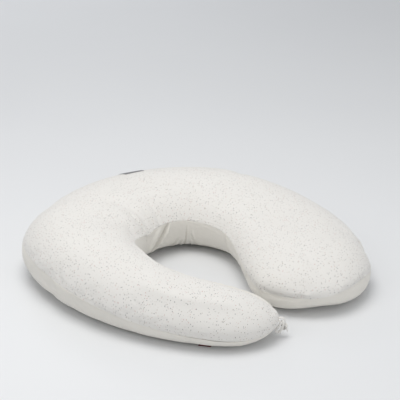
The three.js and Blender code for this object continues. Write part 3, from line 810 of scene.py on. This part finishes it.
def grained(name, light, dark, tone, rough, bump, stretch=(1, 1, 1), **settings):
    """A material made of noises, each given as its scale, detail and roughness.

    The tone mixes the two colours; rough adds its factor and base, bump its strength and depth.
    """
    nodes = Nodes(name)
    place = nodes.place()
    fine_place = nodes.vector("MULTIPLY", place, stretch)
    (rough_noise, factor, base), (bump_noise, strength, depth) = rough, bump
    return nodes.finish(
        Base_Color=nodes.mix_colour(nodes.noise(place, *tone), light, dark),
        Roughness=nodes.line(nodes.noise(fine_place, *rough_noise), factor, base),
        Normal=nodes.bump(nodes.noise(fine_place, *bump_noise), strength, depth),
        **settings,
    )


def dress(obj, material, nodes=()):
    """Material, slot and body of a finished piece, and the CAD nodes it stands for."""
    obj.data.materials.append(material)
    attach(obj, "pillow")
    if nodes:
        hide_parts(*nodes)


def plain_weave(nodes, pitch):
    """Height of a plain weave on the cloth UV map, from 0 to 1, with uneven threads."""
    uv = nodes.add("ShaderNodeUVMap", {}, uv_map="cloth")
    along, across, _ = nodes.add("ShaderNodeSeparateXYZ", {0: uv}).node.outputs
    wobble = nodes.math("MULTIPLY", nodes.noise(uv, 1 / (pitch * 9), 1.0), 3.0)
    waves = [nodes.math("SINE", nodes.line(axis, math.pi / pitch, wobble)) for axis in (along, across)]
    return nodes.line(nodes.math("MULTIPLY", *waves), 0.5, 0.5)


def woven_cloth(name, colour, shade, pitch=0.00055, print_specks=False, sheen=0.25, bump=0.35):
    """Woven cloth: thread bump, uneven threads, cloudy colour, painted shade in the hollows between
    threads, and for the print scattered specks.
    """
    nodes = Nodes(name)
    place = nodes.place()
    weave = plain_weave(nodes, pitch)
    cloud = nodes.noise(place, 14.0, 3.0)
    threads = nodes.noise(place, 900.0, 2.0, 0.7)
    tone = nodes.mix_colour(nodes.math("MULTIPLY", cloud, 0.6), colour, shade)
    tone = nodes.mix_colour(nodes.math("MULTIPLY", threads, 0.18), tone, shade)
    # Painted shade: the weave's valleys are mixed towards the darker colour, as if shade fell in the
    # hollows between threads.
    weave_valley_shade = nodes.math("SUBTRACT", 1.0, weave)
    tone = nodes.mix_colour(nodes.math("MULTIPLY", weave_valley_shade, 0.22), tone, shade)
    if print_specks:
        tone = confetti(nodes, place, tone)
    fine = nodes.bump(nodes.line(threads, 0.5, weave), bump, 0.00022)
    return nodes.finish(
        Base_Color=tone,
        Roughness=nodes.line(threads, 0.14, 0.78, clamp=True),
        Normal=nodes.bump(nodes.noise(place, 60.0, 2.0), 0.12, 0.002, fine),
        Sheen_Weight=sheen,
        Sheen_Roughness=0.45,
        Specular_IOR_Level=0.22,
    )


SPECK_SPACING = 0.0036  # metres, as are the half length and half width of a speck
SPECK_LONG = 0.0012
SPECK_SHORT = 0.00066
SPECKS_LEFT_OUT = 0.12
SPECK_STRENGTH = 0.9
SPECK_COLOURS = [
    (0.0, linear(214, 210, 204)),
    (0.2, linear(128, 124, 122)),
    (0.42, linear(165, 154, 142)),
    (0.58, linear(196, 160, 154)),
    (0.72, linear(108, 106, 110)),
    (0.86, linear(186, 172, 162)),
]


def confetti(nodes, place, tone):
    """Specks of a few colours, each a little oblong turned its own way, scattered over the cloth."""
    grid = {"Vector": place, "Scale": 1 / SPECK_SPACING}
    cells = nodes.add("ShaderNodeTexVoronoi", grid).node.outputs
    turn = nodes.vector("SCALE", cells["Color"], scale=2 * math.pi)
    local = {"Vector": nodes.vector("SUBTRACT", place, cells["Position"]), "Rotation": turn}
    spun = nodes.add("ShaderNodeVectorRotate", local, rotation_type="EULER_XYZ")
    scaled = nodes.vector("MULTIPLY", spun, (1 / SPECK_LONG, 1 / SPECK_SHORT, 1 / SPECK_SHORT))
    inside = nodes.math("LESS_THAN", nodes.vector("LENGTH", scaled), 1.0)
    _, chance, choice = nodes.add("ShaderNodeSeparateColor", {0: cells["Color"]}).node.outputs
    shown = nodes.math("MULTIPLY", inside, nodes.math("GREATER_THAN", chance, SPECKS_LEFT_OUT))
    ink = nodes.steps(choice, SPECK_COLOURS)
    return nodes.mix_colour(nodes.math("MULTIPLY", shown, SPECK_STRENGTH), tone, ink)


IVORY = linear(232, 230, 226)
IVORY_SHADE = linear(221, 218, 213)
GREIGE = linear(236, 233, 226)
GREIGE_SHADE = linear(220, 216, 208)

printed_cotton = woven_cloth("printed_cotton", IVORY, IVORY_SHADE, print_specks=True)
plain_cotton = woven_cloth("plain_cotton", GREIGE, GREIGE_SHADE)
dress(upper_panel, printed_cotton, ["upper_cover"])
dress(lower_panel, plain_cotton, ["lower_cover"])

# ---- helpers for the small pieces

TURNED = [0, 3, 2, 1]  # order of a face's corners that turns it round


def sample(panel, rows, columns):
    """Points and normals of a panel's skin at fractional row and column indices (flat arrays)."""
    skin, normal = panel["skin"], panel["normal"]
    rows = np.clip(rows, 0, skin.shape[0] - 1.001)
    columns = np.clip(columns, 0, skin.shape[1] - 1.001)
    i, j = np.floor(rows).astype(int), np.floor(columns).astype(int)
    u, v = (rows - i)[..., None], (columns - j)[..., None]
    points, normals = (
        mix(mix(grid[i, j], grid[i, j + 1], v), mix(grid[i + 1, j], grid[i + 1, j + 1], v), u)
        for grid in (skin, normal)
    )
    return points, unit(normals)


ARC_SPAN_OF_LINE = (0.25, 0.85)  # shares of the centreline that hold the zip's arc


def row_of_angle(panel, angle):
    """Fractional row whose outer edge lies at an angle on the zip's arc."""
    distance = panel["distance"][:, 0]
    low, high = ARC_SPAN_OF_LINE
    fine = np.linspace(high * LINE_LENGTH, low * LINE_LENGTH, 2000)
    at = np.interp(angle, np.unwrap(edge_angle(fine)), fine)
    return np.interp(at, distance, np.arange(len(distance)))


def column_of_height(panel, row, height):
    """Fractional column, on the outer side, where a row of the skin crosses a height."""
    z = panel["skin"][int(round(row)), :, 2]
    columns = np.arange(len(z))
    if panel["side"] == "upper":
        top = int(np.argmax(z))
        return np.interp(-height, -z[top:], columns[top:])
    bottom = int(np.argmin(z[: len(z) // 2 + len(z) // 4]))
    return np.interp(height, z[bottom:], columns[bottom:])


def grid_solid(name, outer, inner, uv):
    """A closed slab between two grids of points."""
    rows, columns = outer.shape[:2]
    count = rows * columns
    quads = grid_quads(rows, columns)
    faces = quads.tolist() + (quads[:, ::-1] + count).tolist()
    number = np.arange(count).reshape(rows, columns)
    rim = [*number[:-1, 0], *number[-1, :-1], *number[:0:-1, -1], *number[0, :0:-1]]
    for here, after in zip(rim, rim[1:] + rim[:1]):
        faces.append((here, after, after + count, here + count))
    points = np.concatenate([outer.reshape(-1, 3), inner.reshape(-1, 3)])
    return piece(name, points, faces, np.tile(uv.reshape(-1, 2), (2, 1)))


def sweep(name, tubes, profile):
    """A piece of tubes; each is a path and the two vectors that carry the profile along it."""
    points, faces, uvs = [], [], []
    sides = len(profile)
    around = run_lengths(profile)
    base = 0
    for path, a, b in tubes:
        rings = path[:, None] + a[:, None] * profile[None, :, :1] + b[:, None] * profile[None, :, 1:2]
        count = len(path)
        points.append(rings.reshape(-1, 3))
        uvs.append(pairs(run_lengths(path)[:, None], around).reshape(-1, 2))
        faces.extend((grid_quads(count, sides, wrap=True)[:, TURNED] + base).tolist())
        faces.append([base + j for j in range(sides)][::-1])
        faces.append([base + (count - 1) * sides + j for j in range(sides)])
        base += count * sides
    return piece(name, np.concatenate(points), faces, np.concatenate(uvs))


def frames_along(path, up):
    """Two unit vectors across a path, carried along it without spinning from a starting hint."""
    tangent = unit(np.gradient(path, axis=0))
    side = np.empty_like(path)
    current = np.array(up, float)
    for k, t in enumerate(tangent):
        current = unit(current - t * (current @ t))
        side[k] = current
    return side, np.cross(tangent, side)


def rounded_profile(half, exponent, sides):
    turn = 2 * np.pi * np.arange(sides) / sides
    return half * signed_power(np.stack([np.cos(turn), np.sin(turn)], axis=1), 2 / exponent)


STITCH_ARCH = (-1.0, -0.1, 0.0, -0.1, -1.0)  # height along a stitch, in shares of its sink


def stitches(name, path, normals, stitch, pitch, radius):
    """A row of sewn stitches along a path: short threads that dip into the cloth at both ends."""
    lengths = run_lengths(path)
    t = np.linspace(0, 1, len(STITCH_ARCH))
    arch = STITCH_SINK * np.array(STITCH_ARCH)[:, None]
    threads = []
    for start in np.arange(pitch / 2, lengths[-1] - pitch, pitch):
        at = start + stitch * t
        normal = unit(lookup(at, lengths, normals))
        points = lookup(at, lengths, path) + normal * arch
        tangent = unit(np.gradient(points, axis=0))
        across = unit(np.cross(tangent, normal))
        threads.append((points, across, np.cross(across, tangent)))
    return sweep(name, threads, rounded_profile(radius, 2, 6))


# ---- inner cushion

CASE_INSET = 13.0
CASE_CLOTH = 1.0
CASE_STEP = 2
CASE_HALF_GAP = 0.3
CASE_RIPPLE = 1.2
CORE_INSET = 16.0
CORE_SIDES = 40


def inner_cushion():
    """The cushion inside the cover: two panels of ticking sewn together, and the filling within."""
    steps = np.arange(1, RING_COUNT, CASE_STEP).astype(float)
    shares = np.linspace(0, 1, 33)
    panels = {}
    for side in ("upper", "lower"):
        outer, _, section = panel_grid(side, steps, shares, CASE_INSET, CASE_HALF_GAP)
        inner, _, _ = panel_grid(side, steps, shares, CASE_INSET + CASE_CLOTH, CASE_HALF_GAP)
        normal = grid_normals(outer) * SIGN[side]
        ripple = value_noise(section.distance[:, None] / 31.0, shares[None] * 7 + 2, 31)
        ripple = ripple * np.sin(np.pi * shares)[None] * section.tip[:, None]
        shift = normal * ripple[..., None] * CASE_RIPPLE
        uv = pairs(section.distance[:, None], shares * 200.0)
        panels[side] = grid_solid("inner_" + side, outer + shift, inner + shift, uv)
    rows = len(steps)
    turn = 2 * np.pi * np.arange(CORE_SIDES) / CORE_SIDES
    core = Section(ring_distance(steps, CORE_INSET), CORE_INSET)
    rings = core.surface(np.broadcast_to(turn, (rows, CORE_SIDES)))
    faces = grid_quads(rows, CORE_SIDES, wrap=True)[:, TURNED].tolist()
    faces.append(list(range(CORE_SIDES)))
    faces.append([(rows - 1) * CORE_SIDES + j for j in reversed(range(CORE_SIDES))])
    filling = piece("inner_filling", rings.reshape(-1, 3), faces)
    return panels["upper"], panels["lower"], filling


case_upper, case_lower, filling = inner_cushion()
ticking = woven_cloth("ticking", linear(240, 239, 235), linear(222, 220, 214), pitch=0.0008)
FIBRE_NOISE = (220, 5, 0.8)
fibre = grained(
    "fibre",
    linear(250, 250, 248),
    linear(225, 225, 222),
    tone=FIBRE_NOISE,
    rough=(FIBRE_NOISE, 0.1, 0.85),
    bump=(FIBRE_NOISE, 0.8, 0.002),
)
dress(case_upper, ticking, ["inner_case_top"])
dress(case_lower, ticking, ["inner_case_bottom"])
dress(filling, fibre, ["filling"])

# ---- seam and top-stitching

THREAD_TWIST = (2600, 2, 0.6)
thread = grained(
    "thread",
    linear(228, 225, 218),
    linear(205, 201, 192),
    tone=THREAD_TWIST,
    rough=(THREAD_TWIST, 0.2, 0.5),
    bump=(THREAD_TWIST, 0.5, 0.0002),
    Sheen_Weight=0.2,
    Specular_IOR_Level=0.35,
)

SEAM_STITCH = 2.6
SEAM_PITCH = 3.1
SEAM_THREAD_RADIUS = 0.33
SEAM_THREAD_SINK = 1.5  # how far under the edges of the panels the thread lies
STITCH_SINK = 0.5  # how far the ends of a stitch dip into the cloth


def seam_line(column, keep):
    """Points and normals midway between the panels' edges, for the rows that keep is true for."""
    points = (upper["skin"][keep, column] + lower["skin"][keep, column]) / 2
    normals = unit(upper["normal"][keep, column] + lower["normal"][keep, column])
    return points - normals * SEAM_THREAD_SINK, normals


rows_of_panel = np.arange(len(upper["skin"]))
free_of_zip = upper["section"].slot < 0.02
half_way = len(rows_of_panel) // 2
right_part = seam_line(-1, free_of_zip & (rows_of_panel > half_way))
left_part = seam_line(-1, free_of_zip & (rows_of_panel < half_way))
well_part = seam_line(0, rows_of_panel >= 0)
seam_path, seam_normals = (
    np.concatenate([right_part[k], well_part[k][::-1], left_part[k]]) for k in (0, 1)
)
seam_stitches = stitches(
    "seam_stitches", seam_path, seam_normals, SEAM_STITCH, SEAM_PITCH, SEAM_THREAD_RADIUS
)
dress(seam_stitches, thread, ["seam_thread"])

TOPSTITCH = 2.5
TOPSTITCH_PITCH = 3.2
TOPSTITCH_FROM_LIP = 2.6
TOPSTITCH_RADIUS = 0.24
TOPSTITCH_RISE = 0.12


def topstitch(panel):
    """Stitches that hold the zip's tape, just behind the lip of a panel."""
    rows = np.flatnonzero(panel["section"].zip > 0.98).astype(float)
    shares = 1 - TOPSTITCH_FROM_LIP / np.interp(rows, rows_of_panel, panel["lengths"])
    columns = np.interp(shares, panel["shares"], np.arange(len(panel["shares"])))
    points, normals = sample(panel, rows, columns)
    return points + normals * TOPSTITCH_RISE, normals


for name, panel in (("topstitch_upper", upper), ("topstitch_lower", lower)):
    row = stitches(name, *topstitch(panel), TOPSTITCH, TOPSTITCH_PITCH, TOPSTITCH_RADIUS)
    dress(row, thread)

# ---- zip

TAPE_DEPTH = (3.3, 3.8)
TAPE_Z = (1.0, 6.0)
TAPE_OVERRUN = 14.0  # the tapes run on this far past the coils
TAPE_RIPPLE = 0.06
COIL_DEPTH = 1.85
COIL_HEIGHT = 1.6
COIL_HALF_DEPTH = 0.85
COIL_HALF_HEIGHT = 1.05
COIL_WIRE = 0.3
COIL_PITCH = 1.6
COIL_STEPS = 12


def on_arc(angle, depth, height):
    """Points at an angle on the zip's arc, a depth under the cover's face and a height off its line."""
    radius = ZIP_RADIUS - depth
    x = ZIP_CENTRE[0] - ORIGIN[0] + radius * np.cos(angle)
    y = ZIP_CENTRE[1] - ORIGIN[1] + radius * np.sin(angle)
    return np.stack(np.broadcast_arrays(x, y, ZIP_Z + height), axis=-1)


def zip_tape(name, sign):
    """One side's tape, a little uneven, along the arc."""
    reach = TAPE_OVERRUN / ZIP_RADIUS
    angle = np.linspace(ZIP_FROM - reach, ZIP_TO + reach, 260)[:, None]
    across = np.linspace(*TAPE_Z, 9)[None] * sign
    ripple = TAPE_RIPPLE * value_noise(angle * ZIP_RADIUS / 9.0, across + 20, 41)
    front, back = (on_arc(angle, depth + ripple, across) for depth in TAPE_DEPTH)
    return grid_solid(name, front, back, pairs(angle * ZIP_RADIUS, across))


def zip_coil(name, sign):
    """One side's wound nylon coil, as a helix that follows the arc."""
    turns = int((ZIP_TO - ZIP_FROM) * ZIP_RADIUS / COIL_PITCH) - 1
    t = np.linspace(0, turns, turns * COIL_STEPS + 1)
    phase = 2 * np.pi * t + (np.pi if sign > 0 else 0)
    angle = ZIP_FROM + (t + 0.5) * COIL_PITCH / ZIP_RADIUS
    depth = COIL_DEPTH + COIL_HALF_DEPTH * np.cos(phase)
    height = sign * COIL_HEIGHT + COIL_HALF_HEIGHT * np.sin(phase)
    path = on_arc(angle, depth, height)
    tube = (path, *frames_along(path, (0, 0, 1)))
    return sweep(name, [tube], rounded_profile(COIL_WIRE, 2, 6))


tape_cloth = woven_cloth("zip_tape", linear(224, 220, 212), linear(196, 191, 181), pitch=0.0009, bump=0.5)
NYLON_TONE = (90, 2, 0.5)
nylon = grained(
    "zip_nylon",
    linear(232, 229, 222),
    linear(214, 210, 201),
    tone=NYLON_TONE,
    rough=(NYLON_TONE, 0.15, 0.28),
    bump=((1500, 2, 0.5), 0.15, 0.0001),
    Specular_IOR_Level=0.5,
)
for side, sign in SIGN.items():
    dress(zip_tape("tape_" + side, sign), tape_cloth, ["zip_tape_" + side])
    dress(zip_coil("coil_" + side, sign), nylon, ["zip_coil_" + side])

METAL_SCRATCH = (1400, 2, 0.5)
metal = grained(
    "zip_metal",
    linear(205, 205, 208),
    linear(160, 160, 163),
    tone=(340, 4, 0.7),
    rough=(METAL_SCRATCH, 0.22, 0.18),
    bump=(METAL_SCRATCH, 0.12, 0.0001),
    stretch=(1, 1, 9),
    Metallic=1.0,
)
METAL_BEVEL = {  # metres
    "zip_stop_closed": 0.0004,
    "zip_stop_open": 0.0004,
    "zip_slider": 0.00018,
    "zip_pull": 0.00025,
}
for node, width in METAL_BEVEL.items():
    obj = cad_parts[node]
    obj.data.materials.clear()
    obj.data.materials.append(metal)
    bevel = obj.modifiers.new("softened_edges", "BEVEL")
    bevel.width = width
    bevel.segments = 2
    bevel.limit_method = "ANGLE"
    bevel.angle_limit = math.radians(40)
    bevel.harden_normals = False

# ---- labels and tag

LABEL_THICKNESS = 0.5
LABEL_WAVE = 0.25


def cloth_patch(name, panel, angles, heights, lift, curl, rows=24, columns=14):
    """A label on a panel's skin; its first height is sewn down, and the other edge lifts by the curl."""
    first, last = (row_of_angle(panel, math.radians(a)) for a in angles)
    u = np.linspace(0, 1, rows)
    v = np.linspace(0, 1, columns)
    row = np.repeat(mix(first, last, u)[:, None], columns, axis=1)
    levels = mix(*heights, v)
    column = np.array([column_of_height(panel, r, levels) for r in row[:, 0]])
    points, normals = sample(panel, row, column)
    wave = LABEL_WAVE * value_noise(u[:, None] * 3 + 5, v[None] * 2, 61)
    rise = lift + curl * v[None] ** 2 + wave * v[None]
    under = points + normals * rise[..., None]
    over = under + normals * LABEL_THICKNESS
    across = np.linalg.norm(points[0, 0] - points[-1, 0])
    up = np.linalg.norm(points[0, 0] - points[0, -1])
    return grid_solid(name, over, under, pairs(u[:, None] * across, v * up))


grey_weave = woven_cloth("label_grey", linear(140, 140, 141), linear(108, 108, 110), 0.0006, sheen=0.1)
white_satin = woven_cloth("label_white", linear(248, 248, 246), linear(232, 232, 229), 0.0004, sheen=0.4)
red_weave = woven_cloth("tag_red", linear(128, 34, 42), linear(92, 20, 28), 0.0006, sheen=0.1)

back_label = cloth_patch("woven_back_label", upper, (84.8, 75.2), (123.3, 113), 0.25, 0.25)
dress(back_label, grey_weave, ["back_label"])
care_label = cloth_patch("sewn_care_label", lower, (68, 62), (46, 28), -2.4, 0.2)
dress(care_label, white_satin, ["care_label"])

TAG_AT = 118.0
TAG_OUTWARD = (41.0, 50.5)
TAG_WIDTH = 22.0
TAG_HEIGHTS = (0.25, 0.95)
TAG_LIFT = 0.5


def edge_tag():
    """The tag lies on the floor and peeps out from under the outer edge of the left arm."""
    point, along, inward = centre_at(np.array([TAG_AT]))
    u = np.linspace(-0.5, 0.5, 25)[:, None]
    v = np.linspace(0, 1, 13)[None]
    out = mix(*TAG_OUTWARD, v)
    plan = point[0] - ORIGIN + along[0] * (u * TAG_WIDTH)[..., None] - inward[0] * out[..., None]
    lift = TAG_LIFT * v**2 * (0.5 + 0.5 * np.sin(u * 7 + 1))
    bottom, top = (np.concatenate([plan, (z + lift)[..., None]], axis=-1) for z in TAG_HEIGHTS)
    return grid_solid("woven_edge_tag", top, bottom, pairs(u * TAG_WIDTH, out))


dress(edge_tag(), red_weave, ["edge_tag"])

# ---- loop and knotted strap at the left tip

STRAP_WIDTH = 5.0
STRAP_THICKNESS = 1.6
LOOP_WIDTH = 4.4
LOOP_THICKNESS = 2.2
TIE_LOOP = [
    (1.0, -6, 0.5), (3.4, -7, -2.5), (3, -7, -7), (0.2, -7, -12.6), (-2.9, -7, -18), (-1.9, -7, -22.6),
    (2.4, -7, -21.6), (5.7, -7, -15.8), (8.6, -7, -10.2), (8.6, -5.5, -5), (6, -3, -1.0),
]
TIE_KNOT = (10.5, 0.5, -15)
TIE_STEM = [(0.5, 1, 1), (5, 0.8, 2.5), (10, 0.6, -1), (12, 0.5, -6), (11, 0.5, -11)]
TIE_LONG_TAIL = [(9, 0.5, -17), (6.5, 0, -22), (4.5, -0.5, -25.5), (4, -0.5, -29)]
TIE_SHORT_TAIL = [(12, 0.5, -16), (14, 0.8, -18), (15.5, 1.2, -21), (16.5, 1.5, -24)]
KNOT_SIZE = (1.5, 2.0, 1.9)
KNOT_TIGHTNESS = 0.8  # width of the strap in the knot, as a share of its width
STRAP_TWIST = 0.25
STRAP_UNEVENNESS = 0.14
STRAP_EXPONENT = 3.2
STRAP_SIDES = 18


def tie_frame():
    """Root of the straps, the direction ahead of the left tip and the direction across it."""
    end = Section(np.array([0.0]), 0.0)
    ahead = np.array([-end.along[0, 0], -end.along[0, 1], 0.0])
    across = np.array([-ahead[1], ahead[0], 0.0])
    root = np.array([*(end.point[0] - ORIGIN), end.middle[0]])
    return root, ahead, across


def strap(places, count, width, thickness, hint, seed):
    """Path and frames of a flat strap of folded cloth, a little twisted and uneven.

    Its places are given ahead of the tip, across it and up.
    """
    root, ahead, across = tie_frame()
    points = root + np.asarray(places, float) @ np.array([ahead, across, (0, 0, 1)])
    knots = run_lengths(points)
    along = np.linspace(0, knots[-1], count)
    path = np.stack([natural_spline(knots, column)(along) for column in points.T], axis=1)
    flat, edge = frames_along(path, hint)
    t = np.linspace(0, 1, count)
    twist = STRAP_TWIST * value_noise(t * 5, 0 * t + 3, seed)[:, None]
    a = flat * np.cos(twist) + edge * np.sin(twist)
    b = edge * np.cos(twist) - flat * np.sin(twist)
    wide = 1 + STRAP_UNEVENNESS * value_noise(t * 9, 0 * t + 1, seed + 1)[:, None]
    return path, a * (thickness / 2) * wide, b * (width / 2) * wide


def tip_ties():
    """The loop, and the strap: a stem, a trefoil knot and its two tails."""
    _, ahead, across = tie_frame()
    loop = strap(TIE_LOOP, 110, LOOP_THICKNESS, LOOP_WIDTH, ahead, 71)
    turn = np.linspace(0.35, 2 * np.pi + 0.1, 110)
    wide = np.sin(turn) + 2 * np.sin(2 * turn)
    high = np.cos(turn) - 2 * np.cos(2 * turn)
    trefoil = np.stack([wide, -np.sin(3 * turn) * 1.4, high], axis=1)
    knot = np.array(TIE_KNOT) + trefoil * np.array(KNOT_SIZE)
    straps = [strap(knot, 150, STRAP_WIDTH * KNOT_TIGHTNESS, STRAP_THICKNESS, across, 73)]
    for seed, places in ((75, TIE_STEM), (77, TIE_LONG_TAIL), (79, TIE_SHORT_TAIL)):
        straps.append(strap(places, 40, STRAP_WIDTH, STRAP_THICKNESS, ahead, seed))
    profile = rounded_profile(1.0, STRAP_EXPONENT, STRAP_SIDES)
    return sweep("tip_loop_strap", [loop], profile), sweep("tip_knotted_strap", straps, profile)


tip_loop, tip_tie = tip_ties()
dress(tip_loop, printed_cotton, ["tip_loop"])
dress(tip_tie, printed_cotton, ["tip_tie"])

# ---- stage and light

FLOOR_HALF = 6000
FLOOR_Z = -0.2
floor = mesh_object(
    "floor",
    [(x * FLOOR_HALF, y * FLOOR_HALF, FLOOR_Z) for x, y in ((-1, -1), (1, -1), (1, 1), (-1, 1))],
    [(0, 1, 2, 3)],
)
floor_nodes = Nodes("floor")
floor_place = floor_nodes.place()
cloudy = floor_nodes.math("MULTIPLY", floor_nodes.noise(floor_place, 1.2), 0.5)
paper = floor_nodes.finish(
    Base_Color=floor_nodes.mix_colour(cloudy, linear(230, 231, 232), linear(222, 223, 225)),
    Roughness=floor_nodes.line(floor_nodes.noise(floor_place, 3.0), 0.15, 0.28),
    Specular_IOR_Level=0.3,
)
floor.data.materials.append(paper)

WORLD_STRENGTH = 0.54
world = bpy.data.worlds.new("studio")
world.use_nodes = True
background = world.node_tree.nodes["Background"]
background.inputs["Color"].default_value = (0.95, 0.97, 1.0, 1)
background.inputs["Strength"].default_value = WORLD_STRENGTH
bpy.context.scene.world = world
bpy.context.scene.view_settings.view_transform = "Standard"


def soft_light(name, place, target, size, watts, colour, spread=180, mirrored=True):
    """A round softbox, hidden from the camera, and from reflections unless mirrored.

    Its place, target and size are in metres and its spread in degrees.
    """
    data = bpy.data.lights.new(name, "AREA")
    data.shape = "DISK"
    data.size = size
    data.energy = watts
    data.color = colour
    data.spread = math.radians(spread)
    obj = add_object(name, data)
    obj.location = place
    obj.rotation_mode = "QUATERNION"
    obj.rotation_quaternion = (Vector(target) - Vector(place)).to_track_quat("-Z", "Y")
    obj.visible_camera = False
    obj.visible_glossy = mirrored


WARM = (1.0, 0.99, 0.97)
WARMER = (1.0, 0.98, 0.95)
COOL = (0.97, 0.98, 1.0)
soft_light("top_softbox", (-0.3, 0, 2.1), (0, 0, 0), 1.5, 23, WARM)
soft_light("left_softbox", (-1.9, -0.1, 1.6), (0, 0, 0.05), 1.2, 4, WARMER)
soft_light("back_softbox", (0.9, 3.0, 1.9), (0.9, 3.4, 0), 2.2, 16, COOL)
soft_light("front_softbox", (0.1, -2.6, 0.72), (0.05, 0, 0.05), 1.2, 2.1, WARM, 90, mirrored=False)
